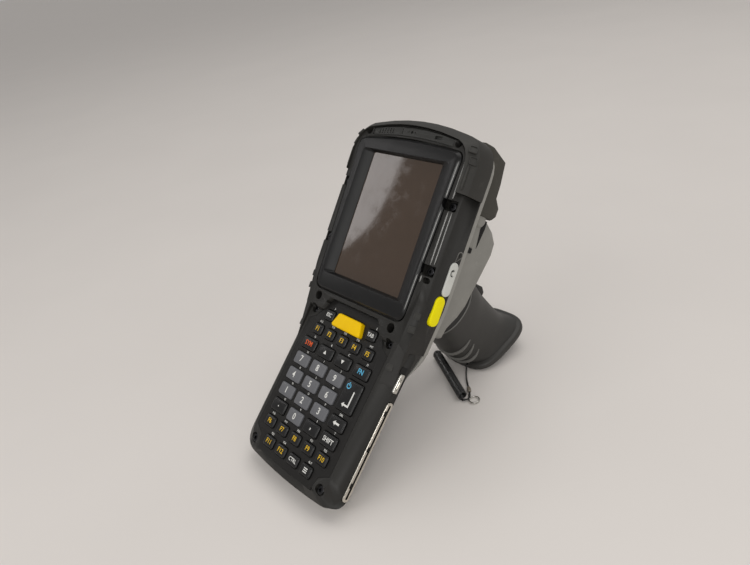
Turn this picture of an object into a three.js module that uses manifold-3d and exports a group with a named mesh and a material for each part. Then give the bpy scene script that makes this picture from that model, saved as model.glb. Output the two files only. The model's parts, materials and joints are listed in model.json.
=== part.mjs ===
// Rugged handheld data collector with a scanner pod, a pistol grip and a coiled stylus tether.
// Millimetres, +Z up.  The unit leans on its keypad end and on the near edge of its grip's foot.
//
// The body is drawn in its own lying frame: X across, Y along the length towards the head,
// Z out of the screen, with Z = 0 on the display bezel's front.  The keypad deck has a frame of
// its own, tipped up from the body's.  The whole body is then stood up by a worked-out angle.
import * as THREE from "three";
import { ConvexGeometry } from "three/addons/geometries/ConvexGeometry.js";
import { mergeVertices } from "three/addons/utils/BufferGeometryUtils.js";
import Module from "manifold-3d";

const wasm = await Module();
wasm.setup();

// ---- Driving dimensions -------------------------------------------------------------------

const seatGap = 0.3; // between pieces that rest against each other
const wall = 3.5; // casing wall thickness
const cornerSteps = 6; // straight steps in a rounded corner of the casings
const keyCornerSteps = 1; // the same on a key

// Head: the wide end that holds the display.
const headHalfWidth = 48.6;
const headCorner = 110.8; // where the end's crown meets the rounded corner
const headCrown = headCorner + 7.2; // control point that gives the end its bow
const headCornerX = headHalfWidth - 14.6;
const headCornerPull = headCorner - 1.5; // control point of that corner
const headSideTop = headCorner - 17.8;
const headSideBottom = 18;
const headWaist = -9; // where the head's block stops, inside the keypad deck
const headWaistHalf = headHalfWidth - 3;
const headFront = -1.2; // front face of the casing around the bezel
const headShoulder = -5; // where the front edge's slope meets the side wall
const frontSlope = 3.5; // how far the front edge slopes in
const partingDepth = -20; // where the front and rear casings meet
const rearShoulder = -24;
const rearPlane = -31; // back of the rear casing
const rearSlope = 7;

// Display.
const bezelTop = headCorner - 9.6;
const bezelBottom = 5.5;
const bezelHalfTop = headHalfWidth - 6.6;
const bezelHalfBottom = bezelHalfTop - 2.8;
const bezelCorner = 6;
const bezelBow = 3.8; // how much the bezel's top edge bows out
const bezelBack = -3.3;
const bezelChamfer = 1.3;
const grooveWidth = 0.8; // gap all round the bezel
const displayMiddle = (bezelTop + bezelBottom) / 2 + 1.65;
const displayReach = (bezelTop - bezelBottom) / 2;
const bezelOpening = { halfWidth: bezelHalfTop - 6.4, halfHeight: displayReach - 8.25 };
const glassOpening = { halfWidth: bezelHalfTop - 13.3, halfHeight: displayReach - 9.65 };
const stripHalf = bezelHalfTop - 9.5; // half length of the strip over the bezel
const stripOverBezel = 2.2;
const stripWidth = 3.8;
const screwOverBezel = 4.4; // from the bezel's top edge up to the screws beside the strip
const windowMargin = { side: 4.3, end: 4 }; // glass hidden under the bezel
const glassThickness = 1.2;
const panelThickness = 2.7;
const boardThickness = 1.6;
const boardLow = 14;
const boardHigh = headSideTop + 8.5 - wall;
const boardDepth = -10;
const chipLegs = 0.5; // how far the chips reach into the board
const casingCeiling = -6.5; // inside face of the head's front wall

// Keypad deck, in its own tipped frame: Z = 0 on the tops of the keys.
const deckTilt = THREE.MathUtils.degToRad(9.7);
const deckHeight = -3.64; // where the deck's frame sits under the bezel's front
const deckHalfWidth = headHalfWidth - 3.1;
const deckEnd = -102.6;
const deckCrown = deckEnd - 3; // control point of the end's bow
const deckCorner = deckHalfWidth - 11.5; // where the end's bow meets the rounded corner
const deckCornerReach = 13; // and how far up the side that corner runs
const deckTop = 8;
const deckFront = -1.1;
const deckShoulder = -6.5;
const deckSlope = 7;
const deckParting = -12.5;
const deckRear = -27;
const deckMiddleSlope = 6; // how far the deck's back slopes in at its standing edge
const deckRearSlope = 14; // and at its rear plane
const deckRearEnd = deckEnd + 13.6; // where the back of the deck's end starts to slope up
const deckEndLow = -18; // depth of the edge that the unit stands on
const deckEndLowest = deckEnd + 0.1; // and its place along the deck
const faceplateThickness = 1.2;
const faceplateDrop = 0.1; // under the casing's front
const faceplateHalf = deckHalfWidth - 9;
const ledge = 2.5; // lip that carries the faceplate
const ledgeThickness = 1.5;
const matThickness = 1.5;
const matClearance = 0.1; // between the mat and a key pressed fully in

// Keys.
const keySlack = 0.3; // between a key and its opening
const keyTravel = 0.8;
const keyRim = 0.55; // how far a key's top edge slopes in
const keyCorner = 1.1;
const firstRow = -8.2;
const rowPitch = (firstRow - deckEnd - 12) / 8;
const columnPitch = faceplateHalf * 0.45;
const lastRow = firstRow - rowPitch * 8;
const keyWidth = columnPitch - 3;
const smallKeyGap = 3.3; // between the function keys
const keyWindowMargin = 1; // round the last row, in the lip under the faceplate
const keyHeight = rowPitch - 2.7;
const smallKeyHeight = rowPitch - 3.8;
const scanKeyTop = 1.8;
const scanKeyHalf = { wide: columnPitch * 0.785, narrow: columnPitch * 0.645 };
const scanKeyReach = { low: -4.6, high: 4 };

// Screw pockets, measured down from the front of the head and of the deck.
const screwDepth = -6;
const deckScrewDepth = -3.8;

// Rubber bumper round the head's end.
const bumperBottom = headCorner - 30.8;
const bumperProud = 1.6; // over the casing's side
const bumperBite = 3; // how far it reaches in from the casing's edge
const bumperLip = 0.9; // how far it stands over the casing's front

// Side controls, on the head's side walls.
const buttonMiddle = { along: 17, depth: -14.6 };
const buttonLength = 17;
const buttonHeight = 7.4;
const buttonProud = 1;
const buttonThickness = wall + 0.1;
const buttonTravel = 1;
const buttonSlack = 0.4;
const coverLength = 19.4;
const coverGap = 0.3; // between the ends of the button and of the cover
const coverMiddle = {
  along: buttonMiddle.along + (buttonLength + coverLength) / 2 + coverGap,
  depth: -16.6,
};
const coverHeight = 6.4;
const coverProud = 0.7;

// Main board: its edge clears a side button that is pressed fully in.
const boardGap = 0.5;
const boardHalfWidth = headHalfWidth + buttonProud - buttonThickness - buttonTravel - boardGap;

// Rail on the deck's side.
const railMiddle = deckEnd + 37.6;
const railLength = 58;
const railHeight = 4.6;
const railSlot = 1.5;
const railDepth = -9.6;
const railThickness = 1.8;
const railProud = 0.8;

// Battery pack, let into the deck's back.
const batteryHalf = deckHalfWidth - deckRearSlope - 5.5;
const batteryLow = deckEnd + 18.6;
const batteryHigh = -12;
const batteryProud = 0.8;
const batteryRound = 1.2; // how far its outer edges slope in

// Scanner pod on the head's back.
const podHalfWidth = 31;
const podBevel = 2.4;
const podTop = headCorner + 4.8;
const podBottom = podTop - 39.6;
const podBack = -60;
const lensWidth = 32;
const lensHeight = 9.5;
const lensThickness = 1.4;
const lensMiddle = { y: podTop - 2.6, z: -45 };
const lensLean = THREE.MathUtils.degToRad(18.2);
const engineHalf = { x: 12.7, y: 3.7 };
const engineDepth = 17.7;

// Grip.
const bracketHalfWidth = 27;
const bracketBevel = 3;
const bracketBottom = -1;
const neckHalfWidth = 17;
const collarGap = 1.6; // round the bracket's neck
const collarDepth = 7;
const cupInset = 2.8; // thickness of the collar's wall
const footMiddle = { y: 2, z: -131.5 };
const footRake = THREE.MathUtils.degToRad(-36.9); // of the foot's underside, about X
const footHalfLength = 26.8;
const footHalfWidth = 22.4;
const footThickness = 4.5;
const footSquareness = 3.2; // power of the foot's outline
const triggerHalfWidth = 7;
const triggerTop = -86.5;
const triggerBottom = -104;
const triggerInner = 23;
const triggerFace = 40.5;
const triggerTravel = 4;
const triggerSlack = 0.6;

// Tether, on the surface that the unit stands on, measured from the foot's edge.
const cordRadius = 0.6;
const coilRadius = 3.3;
const ringRadius = 3.6;
const ringWire = 0.55;
const crimpRadius = 1.5;
const crimpLength = 6;
const stubRadius = 0.8;

// ---- Materials ----------------------------------------------------------------------------

function finish(color, roughness, metalness = 0) {
  return new THREE.MeshStandardMaterial({ color, roughness, metalness });
}

const charcoal = finish(0x3c3a38, 0.6);
const bezelBlack = finish(0x26282b, 0.35);
const rubber = finish(0x2f2f2d, 0.8);
const rearGrey = finish(0x878782, 0.55);
const gripBlack = finish(0x464644, 0.6);
const keyBlack = finish(0x17181a, 0.5);
const keyGrey = finish(0x5a5c60, 0.55);
const keyYellow = finish(0xffcd00, 0.45);
const buttonYellow = finish(0xf0e10a, 0.45);
const coverGrey = finish(0xc9cbc6, 0.5);
const glassBrown = finish(0x4b4034, 0.1);
const silver = finish(0xbeb9af, 0.35, 0.9);
const boardGreen = finish(0x1f5a3a, 0.5);
const panelGrey = finish(0x9a9c9e, 0.4, 0.5);
const batteryBlack = finish(0x2b2b2b, 0.6);
const lensRed = finish(0x3a0d10, 0.1);
const cordBlack = finish(0x141414, 0.5);

// ---- Solids -------------------------------------------------------------------------------

function solid(geometry) {
  const flat = geometry.index ? geometry.toNonIndexed() : geometry;
  const bare = new THREE.BufferGeometry();
  bare.setAttribute("position", flat.getAttribute("position"));
  const merged = mergeVertices(bare, 1e-4);
  return new wasm.Manifold(
    new wasm.Mesh({
      numProp: 3,
      vertProperties: new Float32Array(merged.attributes.position.array),
      triVerts: new Uint32Array(merged.index.array),
    }),
  );
}

function joined(first, ...others) {
  return others.reduce((whole, other) => whole.add(other), first);
}

function cut(whole, ...tools) {
  return tools.reduce((left, tool) => left.subtract(tool), whole);
}

function piece(name, shape, material, parent) {
  const made = shape.getMesh();
  const geometry = new THREE.BufferGeometry();
  const positions = new Float32Array(made.vertProperties);
  geometry.setAttribute("position", new THREE.BufferAttribute(positions, made.numProp));
  geometry.setIndex(new THREE.BufferAttribute(new Uint32Array(made.triVerts), 1));
  geometry.computeVertexNormals();
  const mesh = new THREE.Mesh(geometry, material);
  mesh.name = name;
  parent.add(mesh);
  return mesh;
}

function box(x0, x1, y0, y1, z0, z1) {
  const geometry = new THREE.BoxGeometry(x1 - x0, y1 - y0, z1 - z0);
  geometry.translate((x0 + x1) / 2, (y0 + y1) / 2, (z0 + z1) / 2);
  return solid(geometry);
}

// A flat outline raised between two heights.
function slab(shape, low, high, curveSegments = cornerSteps) {
  const geometry = new THREE.ExtrudeGeometry(shape, {
    depth: high - low,
    bevelEnabled: false,
    curveSegments,
  });
  geometry.translate(0, 0, low);
  return solid(geometry);
}

// The convex body through several outlines, each at its own height.
function stack(...levels) {
  const points = levels.flatMap(({ outline, z }) => outline.map((p) => new THREE.Vector3(p.x, p.y, z)));
  return solid(new ConvexGeometry(points));
}

// A round post or hole along Z.
function post(x, y, radius, low, high, sides = 20) {
  const geometry = new THREE.CylinderGeometry(radius, radius, high - low, sides);
  geometry.rotateX(Math.PI / 2);
  geometry.translate(x, y, (low + high) / 2);
  return solid(geometry);
}

// An outline drawn in (or out, when the distance is negative) towards its middle.
function inset(outline, across, along = across) {
  const bounds = new THREE.Box2().setFromPoints(outline);
  const middle = bounds.getCenter(new THREE.Vector2());
  const size = bounds.getSize(new THREE.Vector2());
  const scaleX = 1 - (2 * across) / size.x;
  const scaleY = 1 - (2 * along) / size.y;
  return outline.map(
    (p) => new THREE.Vector2(middle.x + (p.x - middle.x) * scaleX, middle.y + (p.y - middle.y) * scaleY),
  );
}

function roundedBox(halfWidth, low, high, radius) {
  const shape = new THREE.Shape();
  shape.absarc(halfWidth - radius, low + radius, radius, -Math.PI / 2, 0);
  shape.absarc(halfWidth - radius, high - radius, radius, 0, Math.PI / 2);
  shape.absarc(-halfWidth + radius, high - radius, radius, Math.PI / 2, Math.PI);
  shape.absarc(-halfWidth + radius, low + radius, radius, Math.PI, Math.PI * 1.5);
  shape.closePath();
  return shape;
}

// A stadium: a bar with half-round ends, along Y.
function stadium(length, width) {
  return roundedBox(width / 2, -length / 2, length / 2, width / 2 - 0.01);
}

// ---- Outlines -----------------------------------------------------------------------------

function headShape() {
  const shape = new THREE.Shape();
  shape.moveTo(-headWaistHalf, headWaist);
  shape.lineTo(headWaistHalf, headWaist);
  shape.lineTo(headHalfWidth, headSideBottom);
  shape.lineTo(headHalfWidth, headSideTop);
  shape.quadraticCurveTo(headHalfWidth, headCornerPull, headCornerX, headCorner);
  shape.quadraticCurveTo(0, headCrown, -headCornerX, headCorner);
  shape.quadraticCurveTo(-headHalfWidth, headCornerPull, -headHalfWidth, headSideTop);
  shape.lineTo(-headHalfWidth, headSideBottom);
  shape.closePath();
  return shape;
}

function deckShape() {
  const shape = new THREE.Shape();
  shape.moveTo(-deckCorner, deckEnd);
  shape.quadraticCurveTo(0, deckCrown, deckCorner, deckEnd);
  shape.quadraticCurveTo(deckHalfWidth, deckEnd + 1, deckHalfWidth, deckEnd + deckCornerReach);
  shape.lineTo(deckHalfWidth, deckTop);
  shape.lineTo(-deckHalfWidth, deckTop);
  shape.lineTo(-deckHalfWidth, deckEnd + deckCornerReach);
  shape.quadraticCurveTo(-deckHalfWidth, deckEnd + 1, -deckCorner, deckEnd);
  return shape;
}

function bezelShape() {
  const shape = new THREE.Shape();
  const top = bezelTop - bezelCorner;
  const bottom = bezelBottom + bezelCorner;
  shape.moveTo(-bezelHalfBottom + bezelCorner, bezelBottom);
  shape.lineTo(bezelHalfBottom - bezelCorner, bezelBottom);
  shape.quadraticCurveTo(bezelHalfBottom, bezelBottom, bezelHalfBottom + 0.2, bottom);
  shape.lineTo(bezelHalfTop, top);
  shape.quadraticCurveTo(bezelHalfTop + 0.4, bezelTop - 0.6, bezelHalfTop - 5, bezelTop);
  shape.quadraticCurveTo(0, bezelTop + bezelBow, -bezelHalfTop + 5, bezelTop);
  shape.quadraticCurveTo(-bezelHalfTop - 0.4, bezelTop - 0.6, -bezelHalfTop, top);
  shape.lineTo(-bezelHalfBottom - 0.2, bottom);
  shape.quadraticCurveTo(-bezelHalfBottom, bezelBottom, -bezelHalfBottom + bezelCorner, bezelBottom);
  return shape;
}

// The strip over the bezel that covers the loudspeaker and the microphone.
function stripShape(margin) {
  const half = stripHalf + margin;
  const low = bezelTop + stripOverBezel - margin;
  const high = bezelTop + stripOverBezel + stripWidth + margin;
  const shape = new THREE.Shape();
  shape.moveTo(-half, low);
  shape.quadraticCurveTo(0, low + bezelBow, half, low);
  shape.lineTo(half, high);
  shape.quadraticCurveTo(0, high + 1.6 * bezelBow, -half, high);
  shape.closePath();
  return shape;
}

// The keypad's plate: both ends step in between the casing's screws.
function faceplateShape(margin) {
  const half = faceplateHalf + margin;
  const right = [
    [half - 14.5 - margin, 1.5 + margin],
    [half - 9.5, -6.5],
    [half - 5.5, -12],
    [half, -14.5],
    [half, deckEnd + 17],
    [half - 7.5, deckEnd + 13],
    [half - 9.9, deckEnd + 4.6 - margin],
  ];
  const left = right.map(([x, y]) => [-x, y]).reverse();
  return new THREE.Shape([...right, ...left].map(([x, y]) => new THREE.Vector2(x, y)));
}

// ---- Frames -------------------------------------------------------------------------------

const collector = new THREE.Group(); // the whole object, standing
const body = new THREE.Group(); // the unit in its lying frame
const deck = new THREE.Group(); // the tipped keypad deck
const tether = new THREE.Group(); // the cord on the surface in front of the foot
collector.add(body, tether);
body.add(deck);
deck.rotation.x = -deckTilt;
deck.position.z = deckHeight;
deck.updateMatrix();

// A solid drawn in the deck's frame, moved to the body's frame.
function onDeck(shape) {
  return shape.rotate([-THREE.MathUtils.radToDeg(deckTilt), 0, 0]).translate([0, 0, deckHeight]);
}

// ---- Keys ---------------------------------------------------------------------------------

// Rows of keys, each with its names, how many rows down it lies, the pitch and the keys' size.
function keyRow(names, row, pitch, width, height, material) {
  const first = (-pitch * (names.length - 1)) / 2;
  const y = firstRow - rowPitch * row;
  return names.map((name, i) => ({ name, x: first + pitch * i, y, width, height, material }));
}

const escMiddle = columnPitch * 1.17;
const outerColumn = columnPitch * 1.5;
const upperFunctionPitch = columnPitch * 0.71;
const lowerFunctionPitch = columnPitch * 0.79;
const controlPitch = columnPitch * 0.76;
const upperKey = upperFunctionPitch - smallKeyGap;
const lowerKey = lowerFunctionPitch - smallKeyGap;
const keys = [
  ...keyRow(["esc", "tab"], 0, escMiddle * 2, upperKey, smallKeyHeight, keyBlack),
  ...keyRow(["f1", "f2", "f3", "f4", "f5"], 1, upperFunctionPitch, upperKey, smallKeyHeight, keyBlack),
  ...keyRow(["sym", "up", "down", "fn"], 2, columnPitch, keyWidth, keyHeight - 0.4, keyBlack),
  ...keyRow(["7", "8", "9", ""], 3, columnPitch, keyWidth, keyHeight, keyGrey),
  ...keyRow(["4", "5", "6", ""], 4, columnPitch, keyWidth, keyHeight, keyGrey),
  ...keyRow(["1", "2", "3", "delete"], 5, columnPitch, keyWidth, keyHeight, keyGrey),
  ...keyRow(["point", "0", "comma", "shift"], 6, columnPitch, keyWidth, keyHeight, keyBlack),
  ...keyRow(["f6", "f7", "f8", "f9", "f10"], 7, lowerFunctionPitch, lowerKey, smallKeyHeight, keyBlack),
  ...keyRow(["f11", "f12", "ctrl", "menu"], 8, controlPitch, lowerKey, smallKeyHeight, keyBlack),
  {
    name: "enter",
    x: outerColumn,
    y: firstRow - rowPitch * 3.45,
    width: keyWidth + 0.6,
    height: keyHeight + rowPitch,
    material: keyBlack,
  },
].filter((key) => key.name);
keys.find((key) => key.name === "0").material = keyGrey;
keys.find((key) => key.name === "delete").material = keyBlack;

function keyOutline(key, margin) {
  const half = key.width / 2 + margin;
  const reach = key.height / 2 + margin;
  const shape = roundedBox(half, -reach, reach, keyCorner + margin);
  return shape.getPoints(keyCornerSteps).map((p) => p.add(new THREE.Vector2(key.x, key.y)));
}

// The scan key is a trapezoid, wider towards the user.
function scanOutline(margin) {
  const low = firstRow + scanKeyReach.low - margin;
  const high = firstRow + scanKeyReach.high + margin;
  const wide = scanKeyHalf.wide + margin;
  const narrow = scanKeyHalf.narrow + margin;
  const round = 1.6;
  const shape = new THREE.Shape();
  shape.moveTo(-wide + round, low);
  shape.lineTo(wide - round, low);
  shape.quadraticCurveTo(wide, low, wide - 0.3, low + round);
  shape.lineTo(narrow + 0.3, high - round);
  shape.quadraticCurveTo(narrow, high, narrow - round, high);
  shape.lineTo(-narrow + round, high);
  shape.quadraticCurveTo(-narrow, high, -narrow - 0.3, high - round);
  shape.lineTo(-wide + 0.3, low + round);
  shape.quadraticCurveTo(-wide, low, -wide + round, low);
  return shape.getPoints(3);
}

function keyCap(outline, top) {
  return stack(
    { outline, z: keyFoot },
    { outline, z: top - keyRim },
    { outline: inset(outline, keyRim), z: top },
  );
}

const through = 1; // how far a cutting tool runs past the faces it cuts
const plateTop = deckFront - faceplateDrop;
const plateBack = plateTop - faceplateThickness;
const ledgeFront = plateBack - seatGap;
const ledgeBack = ledgeFront - ledgeThickness;
const matTop = ledgeBack - seatGap;
const keyFoot = matTop + keyTravel + matClearance; // underside of a key

function throughPlate(outline) {
  return stack({ outline, z: plateBack - through }, { outline, z: through });
}

let faceplate = slab(faceplateShape(0), plateBack, plateTop);
for (const key of keys) {
  piece(`key_${key.name}`, keyCap(keyOutline(key, 0), 0), key.material, deck);
  faceplate = cut(faceplate, throughPlate(keyOutline(key, keySlack)));
}
piece("key_scan", keyCap(scanOutline(0), scanKeyTop), keyYellow, deck);
piece("keypad_faceplate", cut(faceplate, throughPlate(scanOutline(keySlack))), charcoal, deck);

const matShape = roundedBox(faceplateHalf - 2, deckEnd + 8.6, -5, 6);
piece("keypad_mat", slab(matShape, matTop - matThickness, matTop), rubber, deck);

// ---- Front casing -------------------------------------------------------------------------

const headLoop = headShape().getPoints(cornerSteps);
const deckLoop = deckShape().getPoints(cornerSteps);
const headScrews = [
  { x: bezelHalfTop - 5.4, y: bezelTop + screwOverBezel, radius: 2.6 },
  { x: headHalfWidth - 4.4, y: displayMiddle + 17.5, radius: 3.1 },
  { x: headHalfWidth - 4.4, y: displayMiddle - 18.6, radius: 3.1 },
];
const deckScrews = [
  { x: faceplateHalf - 3.5, y: 0.2, radius: 2.8 },
  { x: faceplateHalf - 2.3, y: -8, radius: 2.8 },
  { x: faceplateHalf - 3.1, y: deckEnd + 8.2, radius: 3.2 },
];

function screwHoles(screws, depth, high) {
  return screws.flatMap(({ x, y, radius }) => [-x, x].map((side) => post(side, y, radius, depth, high, 16)));
}

// A prism through a side wall, on the side given by its sign.
function sidePrism(shape, side, outer, thickness, along, depth, steps = cornerSteps) {
  const geometry = new THREE.ExtrudeGeometry(shape, {
    depth: thickness,
    bevelEnabled: false,
    curveSegments: steps,
  });
  geometry.rotateY(Math.PI / 2);
  geometry.translate(side > 0 ? outer - thickness : -outer, along, depth);
  return solid(geometry);
}

const bezelLoop = bezelShape().getPoints(cornerSteps);
const recess = inset(bezelLoop, -grooveWidth);
const recessFloor = bezelBack - seatGap;
const windowShape = roundedBox(
  glassOpening.halfWidth + windowMargin.side,
  displayMiddle - glassOpening.halfHeight - windowMargin.end,
  displayMiddle + glassOpening.halfHeight + windowMargin.end,
  2,
);
const headOuter = stack(
  { outline: headLoop, z: partingDepth },
  { outline: headLoop, z: headShoulder },
  { outline: inset(headLoop, frontSlope), z: headFront },
);
const deckOuter = onDeck(
  stack(
    { outline: deckLoop, z: deckParting },
    { outline: deckLoop, z: deckShoulder },
    { outline: inset(deckLoop, deckSlope), z: deckFront },
  ),
);
const headCavity = stack(
  { outline: inset(headLoop, wall), z: partingDepth - through },
  { outline: inset(headLoop, wall), z: casingCeiling },
);
const deckCavityLoop = inset(deckLoop, wall + 2);
const deckCavity = onDeck(
  stack({ outline: deckCavityLoop, z: deckParting - through }, { outline: deckCavityLoop, z: ledgeBack }),
);
const sides = [1, -1];

function sideOpening(side, length, height, middle, slack) {
  return sidePrism(
    stadium(length + 2 * slack, height + 2 * slack),
    side,
    headHalfWidth + through,
    wall + 3 * through,
    middle.along,
    middle.depth,
  );
}

function railRing(margin) {
  return stadium(railLength + 2 * margin, railHeight + 2 * margin);
}

// Openings in the ledge that the keys pass through on their way to the mat.
const keyWindows = [
  roundedBox(escMiddle + upperKey / 2 + keyWindowMargin, -18, 0, 2),
  roundedBox(faceplateHalf - ledge, deckEnd + 17.7, -14.9, 3),
  roundedBox(
    controlPitch * 1.5 + lowerKey / 2 + keyWindowMargin,
    lastRow - smallKeyHeight / 2 - keyWindowMargin,
    deckEnd + 22.6,
    2,
  ),
];
const railOuter = deckHalfWidth + 4;
const railFloor = deckHalfWidth + railProud - railThickness;
let frontCasing = joined(headOuter, deckOuter);
frontCasing = cut(
  frontCasing,
  headCavity,
  deckCavity,
  stack({ outline: recess, z: recessFloor }, { outline: recess, z: through * 3 }),
  slab(windowShape, casingCeiling - through, through),
  slab(stripShape(seatGap), recessFloor, through * 3),
  onDeck(slab(faceplateShape(seatGap), ledgeFront, through * 4)),
  ...keyWindows.map((shape) => onDeck(slab(shape, ledgeBack - through, through * 4))),
  ...screwHoles(headScrews, screwDepth, through * 4),
  ...screwHoles(deckScrews, deckScrewDepth, through * 4).map(onDeck),
);

// Everything of the head beyond a height along the body.
function beyond(low) {
  return box(-2 * headHalfWidth, 2 * headHalfWidth, low, headCrown + 20, -60, 20);
}

// The head's outline, drawn in, as a prism through the front casing.
function headPrism(drawnIn, low) {
  return slab(new THREE.Shape(inset(headLoop, drawnIn)), low, through * 4);
}

const bumperFoot = partingDepth + 1;
const bumperSeat = cut(headPrism(-6, bumperFoot), headPrism(bumperBite, partingDepth - through));
frontCasing = cut(frontCasing, bumperSeat.intersect(beyond(bumperBottom - seatGap)));
for (const side of sides) {
  frontCasing = cut(frontCasing, sideOpening(side, buttonLength, buttonHeight, buttonMiddle, buttonSlack));
}
frontCasing = cut(
  frontCasing,
  sideOpening(1, coverLength, coverHeight, coverMiddle, seatGap),
  onDeck(sidePrism(railRing(seatGap), 1, railOuter, railOuter - railFloor + seatGap, railMiddle, railDepth)),
);
piece("front_housing", frontCasing, charcoal, body);

const bumper = stack(
  { outline: inset(headLoop, -bumperProud), z: bumperFoot + seatGap },
  { outline: inset(headLoop, -bumperProud), z: headShoulder - 1 },
  { outline: inset(headLoop, bumperBite - 0.4), z: headFront + bumperLip },
);
const bumperHole = headPrism(bumperBite - seatGap, partingDepth - through);
piece("top_bumper", cut(bumper, bumperHole).intersect(beyond(bumperBottom)), rubber, body);

// ---- Display ------------------------------------------------------------------------------

const openingTop = roundedBox(
  bezelOpening.halfWidth,
  displayMiddle - bezelOpening.halfHeight,
  displayMiddle + bezelOpening.halfHeight,
  2.5,
).getPoints(2);
const openingBottom = roundedBox(
  glassOpening.halfWidth,
  displayMiddle - glassOpening.halfHeight,
  displayMiddle + glassOpening.halfHeight,
  1,
).getPoints(2);
const bezel = cut(
  stack(
    { outline: bezelLoop, z: bezelBack },
    { outline: bezelLoop, z: -bezelChamfer },
    { outline: inset(bezelLoop, bezelChamfer), z: 0 },
  ),
  stack({ outline: openingBottom, z: bezelBack }, { outline: openingTop, z: 0.01 }),
  stack({ outline: openingBottom, z: bezelBack - through }, { outline: openingBottom, z: bezelBack + 0.05 }),
  ...screwHoles(headScrews, screwDepth, through * 4),
);
piece("display_bezel", bezel, bezelBlack, body);
piece("speaker_panel", slab(stripShape(0), bezelBack, headFront - 0.2), charcoal, body);

const glassHalf = glassOpening.halfWidth + windowMargin.side - seatGap;
const glassLow = displayMiddle - glassOpening.halfHeight - windowMargin.end + seatGap;
const glassHigh = displayMiddle + glassOpening.halfHeight + windowMargin.end - seatGap;
const glassTop = bezelBack - seatGap;
const glassBack = glassTop - glassThickness;
const glassShape = roundedBox(glassHalf, glassLow, glassHigh, 2);
piece("touch_glass", slab(glassShape, glassBack, glassTop, 2), glassBrown, body);
const panelTop = glassBack - seatGap;
const panelBack = panelTop - panelThickness;
const panelShape = roundedBox(glassHalf - 1, glassLow + 1, glassHigh - 1, 1);
piece("lcd_panel", slab(panelShape, panelBack, panelTop, 1), panelGrey, body);


// A chip on the board: its middle and half sizes.
function chip(x, y, halfX, halfY) {
  return box(x - halfX, x + halfX, y - halfY, y + halfY, boardDepth - chipLegs, panelBack - seatGap);
}

const board = joined(
  slab(roundedBox(boardHalfWidth, boardLow, boardHigh, 2), boardDepth - boardThickness, boardDepth, 1),
  chip(-14, 70, 9, 9),
  chip(12, 74, 6, 7),
  chip(10, 40, 12, 8),
  chip(-18, 36, 5, 6),
);
piece("main_board", board, boardGreen, body);

// ---- Side controls ------------------------------------------------------------------------

for (const side of sides) {
  const button = sidePrism(
    stadium(buttonLength, buttonHeight),
    side,
    headHalfWidth + buttonProud,
    buttonThickness,
    buttonMiddle.along,
    buttonMiddle.depth,
  );
  piece(side > 0 ? "side_button_right" : "side_button_left", button, buttonYellow, body);
}
const cover = sidePrism(
  stadium(coverLength, coverHeight),
  1,
  headHalfWidth + coverProud,
  wall + coverProud,
  coverMiddle.along,
  coverMiddle.depth,
);
piece("port_cover", cover, coverGrey, body);

const rail = cut(
  sidePrism(railRing(0), 1, deckHalfWidth + railProud, railThickness, railMiddle, railDepth),
  sidePrism(
    stadium(railLength - railHeight + railSlot, railSlot),
    1,
    deckHalfWidth + railProud + through,
    railThickness,
    railMiddle,
    railDepth,
  ),
);
piece("side_rail", rail, silver, deck);

// ---- Rear casing --------------------------------------------------------------------------

const rearHead = stack(
  { outline: inset(headLoop, 0.4), z: partingDepth - seatGap },
  { outline: inset(headLoop, 1), z: rearShoulder },
  { outline: inset(headLoop, rearSlope), z: rearPlane },
);
const rearDeckLoop = inset(deckLoop, 0.8, 0.5);
const narrowRear = inset(deckLoop, deckRearSlope, 9).map(
  (p) => new THREE.Vector2(p.x, Math.max(p.y, deckRearEnd)),
);
const rearDeck = onDeck(
  stack(
    { outline: rearDeckLoop, z: deckParting - seatGap },
    { outline: inset(deckLoop, deckMiddleSlope, 1.5), z: deckEndLow },
    { outline: narrowRear, z: deckRear },
  ),
);
const rearCavityHead = stack(
  { outline: inset(headLoop, wall + 1), z: partingDepth + through },
  { outline: inset(headLoop, wall + 8), z: rearPlane + 3 },
);
const batteryTop = deckEndLow + 3;
const batteryBack = deckRear - batteryProud;
const rearRoom = roundedBox(deckHalfWidth - 10.5, deckEnd + 9.6, 2, 3);
const rearCavityDeck = onDeck(slab(rearRoom, deckEndLow + 2, deckParting + through));
const batteryPocket = onDeck(
  slab(
    roundedBox(batteryHalf + seatGap, batteryLow - seatGap, batteryHigh + seatGap, 5),
    batteryBack - through,
    deckParting + through,
  ),
);
const headSpace = inset(headLoop, -through);
const deckSpace = inset(deckLoop, -through);
const frontVolume = joined(
  stack({ outline: headSpace, z: partingDepth - seatGap }, { outline: headSpace, z: 5 }),
  onDeck(stack({ outline: deckSpace, z: deckParting - seatGap }, { outline: deckSpace, z: 5 })),
);
const rearRooms = [rearCavityHead, rearCavityDeck, batteryPocket];
piece("rear_housing", cut(joined(rearHead, rearDeck), frontVolume, ...rearRooms), rearGrey, body);
const batteryLoop = roundedBox(batteryHalf, batteryLow, batteryHigh, 5).getPoints(4);
const battery = stack(
  { outline: batteryLoop, z: batteryTop },
  { outline: batteryLoop, z: deckRear + 0.5 },
  { outline: inset(batteryLoop, batteryRound), z: batteryBack },
);
piece("battery_pack", battery, batteryBlack, deck);

// ---- Scanner pod --------------------------------------------------------------------------

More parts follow.
